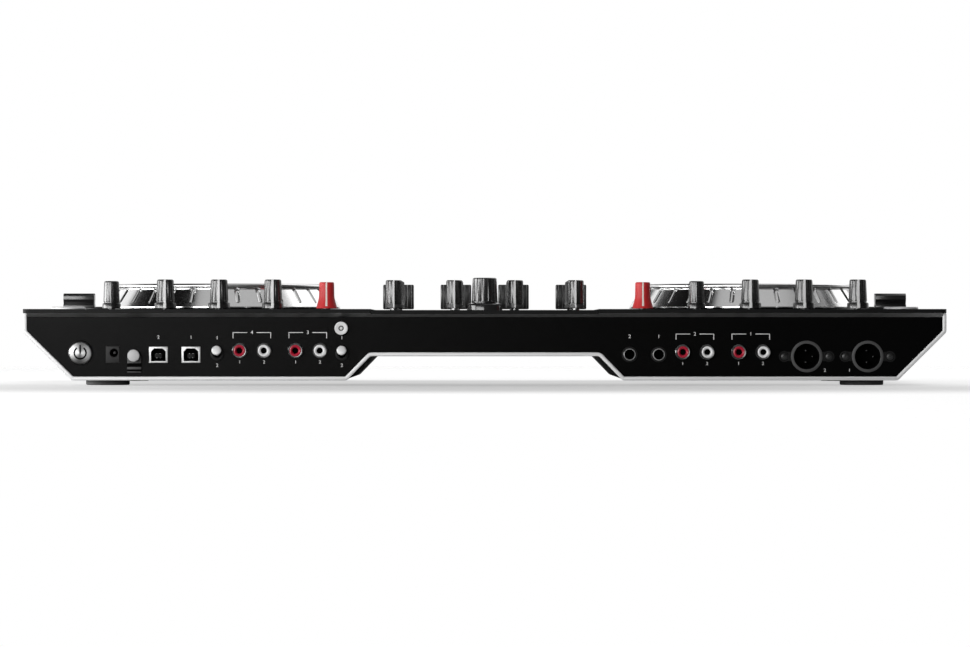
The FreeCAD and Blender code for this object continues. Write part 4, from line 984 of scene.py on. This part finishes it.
# %% Power inlet and lead hook
def well_cutter(centre, radius, depth):
    """A round cutter with a slightly flared mouth, sunk into a rear face."""
    flare = radius + 0.5
    profile = [(0, -depth), (radius, -depth), (radius, -0.4), (flare, 0.05), (flare, 1.0), (0, 1.0)]
    return spun("well_cutter", profile, centre, REARWARD, 48, socket_black)


inlet_low, inlet_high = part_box("dc_inlet")
INLET_DEPTH = 11.0
INLET_WELL = Vector((1.0 * MM, 0, 1.2 * MM))
WELL_RADIUS = 3.0
WELL_DEPTH = 9.5
inlet_size = Vector(((inlet_high.x - inlet_low.x) / MM, INLET_DEPTH, (inlet_high.z - inlet_low.z) / MM))
inlet_middle = Vector((middle("dc_inlet").x, inlet_low.y + INLET_DEPTH / 2 * MM, middle("dc_inlet").z))
inlet = block("inlet_block", inlet_middle, inlet_size, 0.5, inlet_grey)
inlet_face = Vector((inlet_middle.x, inlet_low.y, inlet_middle.z)) + INLET_WELL
carve(inlet, well_cutter(inlet_face, WELL_RADIUS, WELL_DEPTH))
# Painted shade: the well's inside, back from its mouth, is near-black.
inlet_shade_start = inlet_low.y + 0.1 * MM
in_shaded_well = within(inlet_face, WELL_RADIUS + 0.2)
paint(inlet, painted_shade_and_print_black, lambda spot: spot.y > inlet_shade_start and in_shaded_well(spot))
pin_outline = [(0, -10.0), (1.0, -10.0), (1.0, -4.2), (0.8, -3.7), (0, -3.5)]
pin = spun("inlet_pin", pin_outline, inlet_face, REARWARD, 24, cast_grey)
stand_in(joined("moulded_dc_inlet", [inlet, pin]), "dc_inlet")

hook_low, hook_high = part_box("cable_hook")
HOOK_RADIUS = 4.5
HOOK_FOOT_PROUD = 2.5
HOOK_HEAD = 2.2 * MM
HOOK_SLOTS = ((1.8, 1.6), (5.8, 2.8))
post_face = Vector((middle("cable_hook").x, hook_low.y, hook_high.z - HOOK_RADIUS * MM))
reach = (panel_face - hook_low.y) / MM
hook_outline = [
    (0, 0.0), (3.9, 0.0), (4.3, -0.2), (4.5, -0.7), (4.5, -1.8), (3.9, -2.6), (3.7, -3.4), (3.7, -reach),
    (0, -reach)]
post = spun("hook_post", hook_outline, post_face, REARWARD, 64, hook_grey)
paint(post, socket_black, lambda spot: spot.y > hook_low.y + HOOK_HEAD)
foot_height = (post_face.z - hook_low.z) / MM
foot_size = Vector(((hook_high.x - hook_low.x) / MM, HOOK_FOOT_PROUD, foot_height))
foot_middle = Vector((post_face.x, panel_face - HOOK_FOOT_PROUD / 2 * MM, (post_face.z + hook_low.z) / 2))
foot = block("hook_foot", foot_middle, foot_size, 0.4, mark_grey)
for rise, gap in HOOK_SLOTS:
    slot_middle = Vector((post_face.x, panel_face - HOOK_FOOT_PROUD * MM, hook_low.z + rise * MM))
    carve(foot, block("slot_cutter", slot_middle, Vector((12.0, 4.0, gap)), 0.2, socket_black))
# Painted shade: the slots and sides of the foot, back from its front face, are near-black.
slot_shade_start = panel_face - (HOOK_FOOT_PROUD - 0.5) * MM
paint(foot, painted_shade_and_print_black, lambda spot: spot.y > slot_shade_start)
stand_in(joined("moulded_cable_hook", [post, foot]), "cable_hook")
print("inlet and hook ready")

# %% [markdown]
# USB sockets
#
# The square data sockets are folded steel shells. The mouth has its two upper corners cut off, as the
# plug does, and a plastic tongue carries the contacts inside.

# %% USB sockets
usb_low, usb_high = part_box("usb_sockets")
USB_WIDTH = 14.2
USB_MOUTH_HALF = 5.5
USB_MOUTH_TOP = 4.8
USB_MOUTH_CUT = 2.4
USB_MOUTH_DEPTH = 8.0
USB_MARGIN = 0.2
USB_DEPTH = 9.0
TONGUE_SIZE = Vector((5.6, 5.6, 3.2))
TONGUE_BACK = 4.6
TONGUE_DROP = 0.8
CONTACT_SIZE = Vector((0.9, 4.6, 0.3))
CONTACTS = ((-1.3, -1.65), (-1.3, 1.65), (1.3, -1.65), (1.3, 1.65))
half = USB_MOUTH_HALF
top = USB_MOUTH_TOP
mouth = [
    (-half, -top), (half, -top), (half, top - USB_MOUTH_CUT), (half - USB_MOUTH_CUT, top),
    (USB_MOUTH_CUT - half, top), (-half, top - USB_MOUTH_CUT)]
shell_size = Vector((USB_WIDTH, USB_DEPTH, (usb_high.z - usb_low.z) / MM))
inside = usb_low.y + 0.3 * MM


def in_mouth(spot):
    """A test for faces inside the mouth of the socket that is being made, painted near-black as shade."""
    off = spot - centre
    wide = (half + USB_MARGIN) * MM
    tall = (top + USB_MARGIN) * MM
    return spot.y > inside and abs(off.x) < wide and abs(off.z) < tall


usb_pieces = []
for name in ("usb_socket_1", "usb_socket_2"):
    low, high = openings[name]
    centre = Vector(((low.x + high.x) / 2, usb_low.y, middle("usb_sockets").z))
    shell = block("usb_shell", centre - REARWARD * USB_DEPTH / 2 * MM, shell_size, 0.4, socket_steel)
    points = [centre + REARWARD * MM + (ACROSS * across + UP * up) * MM for across, up in mouth]
    carve(shell, bar("mouth_cutter", points, REARWARD * -USB_MOUTH_DEPTH * MM, 0.2, socket_black))
    # Painted shade: the walls inside the mouth are near-black.
    paint(shell, painted_shade_and_print_black, in_mouth)
    tongue_middle = centre - REARWARD * TONGUE_BACK * MM - UP * TONGUE_DROP * MM
    tongue = block("usb_tongue", tongue_middle, TONGUE_SIZE, 0.3, ear_grey)
    usb_pieces += [shell, tongue]
    for across, up in CONTACTS:
        spot = tongue_middle + (ACROSS * across + UP * up) * MM
        usb_pieces.append(block("usb_contact", spot, CONTACT_SIZE, 0.08, contact_gold))
stand_in(joined("folded_usb_sockets", usb_pieces), "usb_sockets")
print("USB sockets: 2")

# %% [markdown]
# Phono sockets
#
# A phono socket is a metal shell around a coloured insulator with a round hole for the plug's pin: red
# for the right channel and white for the left. The pairs sit in two groups at different heights.

# %% Phono sockets
RCA_STEPS = (0.0, 18.2, 41.8, 60.0)
RCA_HALF_BODY = 6.5
RCA_SHADED_HOLE = 2.25
rca_low, rca_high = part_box("rca_sockets")
rca_reach = (panel_face - rca_low.y) / MM
shell_outline = [
    (4.35, -1.0), (5.6, -1.0), (5.6, 0.6), (5.2, 0.9), (5.0, 1.2), (5.0, rca_reach - 0.4),
    (4.85, rca_reach - 0.15), (4.5, rca_reach - 0.2), (4.35, rca_reach - 0.5), (4.35, -1.0)]
insert_outline = [
    (0, 0.5), (4.4, 0.5), (4.4, rca_reach - 0.7), (4.2, rca_reach - 0.3), (3.5, rca_reach - 0.1),
    (3.0, rca_reach - 0.3), (2.5, rca_reach - 0.8), (2.2, rca_reach - 1.8), (2.1, rca_reach - 2.6),
    (2.1, 1.0), (0, 1.0)]
left_xs = [rca_low.x + (RCA_HALF_BODY + step) * MM for step in RCA_STEPS]
right_xs = [rca_high.x - (RCA_HALF_BODY + step) * MM for step in reversed(RCA_STEPS)]
rca_places = [Vector((x, panel_face, rca_high.z - RCA_HALF_BODY * MM)) for x in left_xs]
rca_places += [Vector((x, panel_face, rca_low.z + RCA_HALF_BODY * MM)) for x in right_xs]
rca_pieces = []
for index, place in enumerate(rca_places):
    colour = phono_white if index % 2 else phono_red
    rca_pieces.append(spun("phono_shell", shell_outline, place, REARWARD, 48, dark_nickel))
    insert = spun("phono_insert", insert_outline, place, REARWARD, 48, colour)
    # Painted shade: the pin hole in the insert is near-black.
    rca_pieces.append(paint(insert, painted_shade_and_print_black, within(place, RCA_SHADED_HOLE)))
stand_in(joined("moulded_rca_sockets", rca_pieces), "rca_sockets")
print("phono sockets:", len(rca_places))

# %% [markdown]
# Earth screw and jacks
#
# The earth screw has a pale moulded head with a dished middle, to be turned by hand. The microphone and
# headphone jacks are black sleeves with a thin nickel ring at the mouth.

# %% Earth screw and jacks
SHADED_GROOVE = (1.1 * MM, 1.95 * MM)
screw_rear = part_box("ground_screw")[0].y
screw_face = Vector((middle("ground_screw").x, screw_rear, middle("ground_screw").z))
screw_outline = [
    (0, -0.2), (1.0, -0.2), (1.2, -0.9), (1.8, -0.9), (2.0, -0.2), (3.0, 0.0), (4.5, 0.0), (4.85, -0.3),
    (4.95, -0.9), (4.95, -4.8), (4.6, -5.4), (2.0, -5.6), (2.0, -9.0), (0, -9.0)]
screw = spun("knurled_ground_screw", screw_outline, screw_face, REARWARD, 72, screw_white)
# Painted shade: the groove round the head's small middle boss is dark grey.
paint(screw, knob_grey, lambda spot: SHADED_GROOVE[0] < (spot - screw_face).xz.length < SHADED_GROOVE[1])
stand_in(screw, "ground_screw")

jack_outline = [
    (3.3, -12.0), (5.9, -12.0), (5.9, 0.0), (5.6, 0.5), (4.5, 0.6), (4.25, 0.8), (3.95, 0.8), (3.8, 0.5),
    (3.5, 0.1), (3.3, -0.4), (3.3, -12.0)]
JACKS = {"microphone_jack_1": REARWARD, "microphone_jack_2": REARWARD,
         "headphone_jack_1": -REARWARD, "headphone_jack_2": -REARWARD}
JACK_SHADED_MOUTH = 3.75
RING_INNER = 3.8
RING_OUTER = 4.4
RING_LOW = 0.6 * MM
floor_outline = [(0, -11.5), (3.6, -11.5), (3.6, -11.0), (0, -10.6)]


def on_ring(spot):
    """A test for faces on the bright ring of the jack that is being made."""
    off = spot - place
    return RING_INNER * MM < off.xz.length < RING_OUTER * MM and off.dot(axis) > RING_LOW


jack_pieces = []
for name, axis in JACKS.items():
    face = panel_face if axis == REARWARD else wall_face
    place = Vector((mounts[name].x, face, mounts[name].z))
    jack = spun("jack", jack_outline, place, axis, 64, socket_black)
    paint(jack, jack_nickel, on_ring)
    # Painted shade: the bore and the floor that closes it are near-black.
    paint(jack, painted_shade_and_print_black, within(place, JACK_SHADED_MOUTH))
    jack_pieces += [jack, spun("jack_floor", floor_outline, place, axis, 32, painted_shade_and_print_black)]
stand_in(joined("moulded_phone_jacks", jack_pieces), "phone_jacks")
print("jacks:", len(JACKS))

# %% [markdown]
# Balanced outputs
#
# Each balanced output is a round die-cast well with three pins, held by two cross-head screws in round
# ears. The pins stand back from the mouth; the well's inside and all but the pins' tips are painted
# near-black as shade.

# %% Balanced outputs
XLR_EAR = 16.7
PIN_ANGLES = (-97.0, 0.0, 97.0)
PIN_CIRCLE = 4.4
PIN_SHADE_DEPTH = 4.0 * MM
XLR_SHADED_MOUTH = 9.58
WEB_SHARE = 0.72
WEB_SIZE = Vector((5.0, 1.0, 7.0))
CROSS_SIZES = (Vector((2.6, 1.6, 0.55)), Vector((0.55, 1.6, 2.6)))
CROSS_LIFT = 1.4
well_outline = [
    (9.2, -13.0), (11.0, -13.0), (11.8, -1.0), (11.9, 0.8), (11.7, 1.1), (11.4, 1.2), (9.9, 1.2), (9.6, 1.0),
    (9.5, 0.6), (9.5, -3.0), (9.2, -3.2), (9.2, -13.0)]
floor_outline = [(0, -13.0), (9.6, -13.0), (9.6, -12.5), (0, -12.0)]
pin_outline = [(0, -12.8), (1.2, -12.8), (1.2, -5.4), (0.9, -4.4), (0.55, -3.7), (0, -3.4)]
ear_outline = [(0, -0.6), (4.2, -0.6), (4.2, 0.3), (3.8, 0.6), (3.2, 0.6), (2.95, 0.2), (0, 0.2)]
head_outline = [(0, -0.5), (2.7, -0.5), (2.7, 0.5), (2.4, 0.95), (1.6, 1.3), (0, 1.45)]
xlr_pieces = []
screw_heads = []
for name in ("balanced_output_1", "balanced_output_2"):
    place = on_panel(mounts[name])
    well = spun("xlr_well", well_outline, place, REARWARD, 96, cast_grey)
    # Painted shade: the inside of the well and its floor are near-black.
    paint(well, painted_shade_and_print_black, within(place, XLR_SHADED_MOUTH))
    xlr_pieces += [well, spun("xlr_floor", floor_outline, place, REARWARD, 48, painted_shade_and_print_black)]
    for angle in PIN_ANGLES:
        turn = math.radians(angle)
        spot = place + (ACROSS * math.cos(turn) + UP * math.sin(turn)) * PIN_CIRCLE * MM
        pin = spun("xlr_pin", pin_outline, spot, REARWARD, 24, socket_grey)
        # Painted shade: each pin is near-black beyond its tip.
        xlr_pieces.append(paint(pin, painted_shade_and_print_black, lambda point: point.y > panel_face + PIN_SHADE_DEPTH))
    for offset in (-XLR_EAR, XLR_EAR):
        spot = place + ACROSS * offset * MM
        xlr_pieces.append(spun("xlr_ear", ear_outline, spot, REARWARD, 48, ear_grey))
        web = place + ACROSS * offset * WEB_SHARE * MM
        xlr_pieces.append(block("xlr_web", web, WEB_SIZE, 0.3, ear_grey))
        head = spun("screw_head", head_outline, spot, REARWARD, 36, screw_black)
        for size in CROSS_SIZES:
            carve(head, block("cross_cutter", spot + REARWARD * CROSS_LIFT * MM, size, 0.05, screw_black))
        screw_heads.append(head)
stand_in(joined("cast_xlr_sockets", xlr_pieces), "xlr_sockets")
stand_in(joined("headed_xlr_screws", screw_heads), "xlr_screws")
print("balanced outputs: 2")

# %% [markdown]
# Feet
#
# Four round rubber feet carry the case. A turned foot has a rounded lower edge, so that it meets the
# table with a soft dark line.

# %% Rubber feet
foot_low, foot_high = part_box("rubber_feet")
foot_height = (foot_high.z - foot_low.z) / MM
FOOT_RADIUS = 16.5
foot_outline = [
    (0, 0.0), (FOOT_RADIUS - 1.0, 0.0), (FOOT_RADIUS - 0.3, 0.3), (FOOT_RADIUS, 0.9),
    (FOOT_RADIUS, foot_height), (0, foot_height)]
rear_foot = mounts["rest"]
front_x = foot_high.x - FOOT_RADIUS * MM
front_y = foot_high.y - FOOT_RADIUS * MM
feet = []
for sign in (-1, 1):
    for place in (Vector((sign * rear_foot.x, rear_foot.y, 0)), Vector((sign * front_x, front_y, 0))):
        feet.append(spun("rubber_foot", foot_outline, place, UP, 64, foot_rubber))
stand_in(joined("moulded_rubber_feet", feet), "rubber_feet")
print("feet:", len(feet))

# %% [markdown]
# Printed marks
#
# The panel of a real controller names its sockets in small white type. Here the sockets only carry plain
# numbers, with the brackets that group each pair. Text is set in the plain built-in face, turned to a
# thin mesh, and laid on the paint.

# %% Marks on the rear panel
marks = []


def number(text, place, size, turn=(math.pi / 2, 0, 0)):
    """A number laid on a face, as a thin mesh."""
    bpy.ops.object.select_all(action="DESELECT")
    bpy.ops.object.text_add(location=place, rotation=turn)
    piece = bpy.context.object
    piece.data.body = text
    piece.data.size = size * MM
    piece.data.align_x = "CENTER"
    piece.data.align_y = "CENTER"
    piece.data.extrude = PRINT_HEIGHT
    bpy.ops.object.convert(target="MESH")
    bpy.ops.object.transform_apply(location=True, rotation=True, scale=True)
    bpy.context.object.data.materials.clear()
    bpy.context.object.data.materials.append(print_white)
    return bpy.context.object


def stroke(x, z, width, height):
    """A thin printed line on the rear panel, by its centre and size in millimetres."""
    place = Vector((x * MM, panel_face, z * MM))
    return block("stroke", place, Vector((width, 2 * PRINT_HEIGHT / MM, height)), 0.04, print_white)


def panel_number(text, x, z, size):
    marks.append(number(text, Vector((x * MM, panel_face, z * MM)), size))


BRACKET_LEG = 4.0
BRACKET_LINE = 0.45
BRACKET_WINDOW = 7.0
BRACKET_MARGIN = 5.0
BRACKET_RISE = 13.5
LARGE_SIZE = 3.8
TOGGLE_SIZE = 3.6
SMALL_SIZE = 3.4
UNDER_SOCKET = 8.6
OVER_TOGGLE = 12.0
OVER_USB = 13.0
OVER_JACK = 13.4
UNDER_OUTPUT = 10.4
BESIDE_OUTPUT = 13.6


def bracket(text, first, second, top):
    """Two corners over a pair of sockets, with their number between them."""
    left = first - BRACKET_MARGIN
    right = second + BRACKET_MARGIN
    centre = (left + right) / 2
    run = (right - left - BRACKET_WINDOW) / 2
    for edge, along in ((left, left + run / 2), (right, right - run / 2)):
        marks.append(stroke(along, top, run, BRACKET_LINE))
        marks.append(stroke(edge, top - BRACKET_LEG / 2, BRACKET_LINE, BRACKET_LEG + BRACKET_LINE))
    panel_number(text, centre, top, LARGE_SIZE)


rca_mm = [place / MM for place in rca_places]
for pair, text in enumerate(("4", "3", "2", "1")):
    first = rca_mm[2 * pair]
    bracket(text, first.x, rca_mm[2 * pair + 1].x, first.z + BRACKET_RISE)
for place, text in zip(rca_mm, "12121212"):
    panel_number(text, place.x, place.z - UNDER_SOCKET, SMALL_SIZE)
for node in TOGGLES:
    spot = pivot(node) / MM
    panel_number("1", spot.x, spot.z + OVER_TOGGLE, TOGGLE_SIZE)
    panel_number("2", spot.x, spot.z - UNDER_SOCKET, TOGGLE_SIZE)
for name, text in (("usb_socket_1", "2"), ("usb_socket_2", "1")):
    low, high = openings[name]
    panel_number(text, (low.x + high.x) / 2 / MM, middle("usb_sockets").z / MM + OVER_USB, LARGE_SIZE)
for name, text in (("microphone_jack_1", "2"), ("microphone_jack_2", "1")):
    panel_number(text, mounts[name].x / MM, mounts[name].z / MM + OVER_JACK, LARGE_SIZE)
for index, text, aside in ((1, "2", BESIDE_OUTPUT), (2, "1", -BESIDE_OUTPUT)):
    spot = mounts[f"balanced_output_{index}"] / MM
    panel_number(text, spot.x + aside, spot.z - UNDER_OUTPUT, SMALL_SIZE)
rear_marks = joined("rear_panel_marks", marks)
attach(rear_marks, "chassis")
print("marks on the rear panel:", len(marks))

# %% [markdown]
# Marks on the top plates
#
# Dials carry eleven ticks round each pointer knob, faders have a ladder of short lines, and a fine ring
# runs round each jog wheel. The four channels are numbered for the player, who stands at the front.

# %% Marks on the top plates
HALF_TICK = math.radians(2.0)
LONG_RUNG = 5.0
SHORT_RUNG = 3.0
LADDER_ASIDE = 16.0
TEMPO_TRAVEL = 100.0
CHANNEL_TRAVEL = 60.0
CHANNEL_NUMBER_STEP = 46.0
CHANNEL_NUMBER_SIZE = 7.0
TURN_TO_FRONT = (0, 0, math.pi)
top_marks = []


def dial(inner, outer):
    """Eleven ticks over three hundred degrees, with the gap at the front."""
    ticks = []
    for step in range(-5, 6):
        start = math.radians(30 * step - 90) - HALF_TICK
        ticks.append(sector("tick", ORIGIN, UP, inner, outer, start, 2 * HALF_TICK, 1, print_white))
    return joined("dial", ticks)


def ladder(node, plate, offsets, travel):
    """Eleven lines beside a fader's slot, with longer ones at the middle and the ends."""
    centre = middle(node)
    for step in range(11):
        length = LONG_RUNG if step % 5 == 0 else SHORT_RUNG
        y = centre.y + travel * MM * (step / 10 - 0.5)
        for offset in offsets:
            place = Vector((centre.x + offset * MM, y, plate))
            top_marks.append(block("rung", place, Vector((length, 0.5, 0.1)), 0.03, print_white))


model = dial(inner=9.4, outer=11.0)
for side in SIDES:
    for node in [f"{side}_filter_knob"] + [f"{side}_effect_knob_{index}" for index in (1, 2, 3)]:
        top_marks.append(copy_at(model, "dial", on_deck(node)))
    wheel = on_deck(f"{side}_jog_wheel")
    top_marks.append(sector("jog_ring", wheel, UP, 95.5, 96.1, 0.0, 2 * math.pi, 120, print_white))
    aside = -LADDER_ASIDE if side == "left" else LADDER_ASIDE
    ladder(f"{side}_tempo_cap", deck_top, (aside,), TEMPO_TRAVEL)
bpy.data.objects.remove(model)
model = dial(inner=8.4, outer=9.8)
for channel in CHANNELS:
    x = middle(f"gain_knob_{channel}").x
    for row in (middle("gain_knob_1").y, *tone_rows):
        top_marks.append(copy_at(model, "dial", Vector((x, row, mixer_top))))
    cap = f"channel_cap_{channel}"
    ladder(cap, mixer_top, (-LADDER_ASIDE, LADDER_ASIDE), CHANNEL_TRAVEL)
    foot_of_fader = Vector((x, middle(cap).y + CHANNEL_NUMBER_STEP * MM, mixer_top))
    top_marks.append(number(str(channel), foot_of_fader, CHANNEL_NUMBER_SIZE, TURN_TO_FRONT))
bpy.data.objects.remove(model)
print("marks on the top plates:", len(top_marks))
top_print = joined("top_plate_marks", top_marks)
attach(top_print, "chassis")

# %% [markdown]
# Stage
#
# The photograph has a white sweep and strong soft lights low on the left. Weaker ones hang behind the
# case and overhead. The camera stands level with the case, straight behind it and far away. The floor
# fades out towards its edge, so that the white surroundings show with no horizon, and it keeps the
# shadow. Its glow for the camera is turned down in an oval in front of the rear panel, a painted shadow.

# %% Floor, lights and camera
PHOTO_WIDTH = 970
PHOTO_HEIGHT = 647
VIEW_X = 484.7
VIEW_Y = 330.0
FOCAL_PIXELS = 4600.0
CAMERA_DISTANCE = 3.44
CAMERA_HEIGHT = 41.5 * MM
FLOOR_SIZE = 8.0
TARGET = Vector((0, 0, 0.04))
LIGHTS = (
    ("front_left_soft", (2.1, 0.5), (-1.15, -1.99, 0.28), 30),
    ("left_soft", (2.1, 0.6), (-2.29, -0.2, 0.3), 42),
    ("back_right_soft", (1.6, 1.6), (1.1, 1.2, 1.5), 11),
    ("back_left_soft", (1.0, 0.9), (-1.7, 1.45, 1.2), 3),
    ("overhead_soft", (3.3, 1.4), (0.4, -0.35, 2.0), 7.8))
for name, size, place, watts in LIGHTS:
    bpy.ops.object.light_add(type="AREA", location=place)
    lamp = bpy.context.object
    lamp.name = name
    lamp.data.shape = "RECTANGLE"
    lamp.data.size, lamp.data.size_y = size
    lamp.data.energy = watts
    lamp.rotation_euler = (TARGET - Vector(place)).to_track_quat("-Z", "Y").to_euler()

world = bpy.data.worlds.new("studio")
bpy.context.scene.world = world
world.use_nodes = True
studio = Wiring(world.node_tree)
direction = studio.node("ShaderNodeTexCoord", {}, {}, "Generated")
behind = studio.node("ShaderNodeSeparateXYZ", {}, {0: direction}, "Y")
height = studio.node("ShaderNodeSeparateXYZ", {}, {0: direction}, "Z")
horizon = studio.ramp(height, start=0.2, end=0.45, low=1.0, high=0.06)
depth = studio.ramp(behind, start=0.1, end=0.7, low=0.08, high=1.0)
seen = studio.node("ShaderNodeLightPath", {}, {}, "Is Camera Ray")
background = world.node_tree.nodes["Background"]
studio.feed(background.inputs["Color"], shade(1.0))
studio.feed(background.inputs["Strength"], seen + (1 - seen) * (horizon * depth))

bpy.ops.mesh.primitive_plane_add(size=FLOOR_SIZE, location=(0, 0, 0))
floor = bpy.context.object
floor.name = "floor"
paper = Finish("paper")
paper.set(Base_Color=shade(0.8), Roughness=0.9, Specular_IOR_Level=0.0)
seen = paper.node("ShaderNodeLightPath", {}, {}, "Is Camera Ray")
# Painted shadow: the floor's glow for the camera dims in an oval in front of the rear panel.
painted_shadow_radius = paper.radius((0, -0.34, 0), (0.35, 0.7, 0))
clear = paper.ramp(painted_shadow_radius, start=0.04, end=0.26, low=0.0, high=1.0)
glow_with_painted_shadow = paper.mix(clear, shade(0.22), shade(0.64))
paper.set(Emission_Color=paper.mix(seen, shade(0.0), glow_with_painted_shadow), Emission_Strength=1.0)
from_middle = paper.radius((0, 0, 0), (1, 1, 0))
paper.set(Alpha=paper.ramp(from_middle, start=0.8, end=1.8, low=1.0, high=0.0))
floor.data.materials.append(paper.material)

camera_data = bpy.data.cameras.new("photo_camera")
camera = bpy.data.objects.new("photo_camera", camera_data)
bpy.context.scene.collection.objects.link(camera)
camera_data.sensor_width = 36.0
camera_data.lens = FOCAL_PIXELS / PHOTO_WIDTH * camera_data.sensor_width
camera_data.clip_end = 100.0
camera.location = (0, panel_face - CAMERA_DISTANCE, CAMERA_HEIGHT)
lift = (VIEW_Y - PHOTO_HEIGHT / 2) / FOCAL_PIXELS
turn = (VIEW_X - PHOTO_WIDTH / 2) / FOCAL_PIXELS
camera.rotation_euler = (math.pi / 2 + lift, 0, turn)
bpy.context.scene.camera = camera
bpy.context.scene.view_settings.view_transform = "Standard"
print("lens", round(camera_data.lens, 1), "mm")
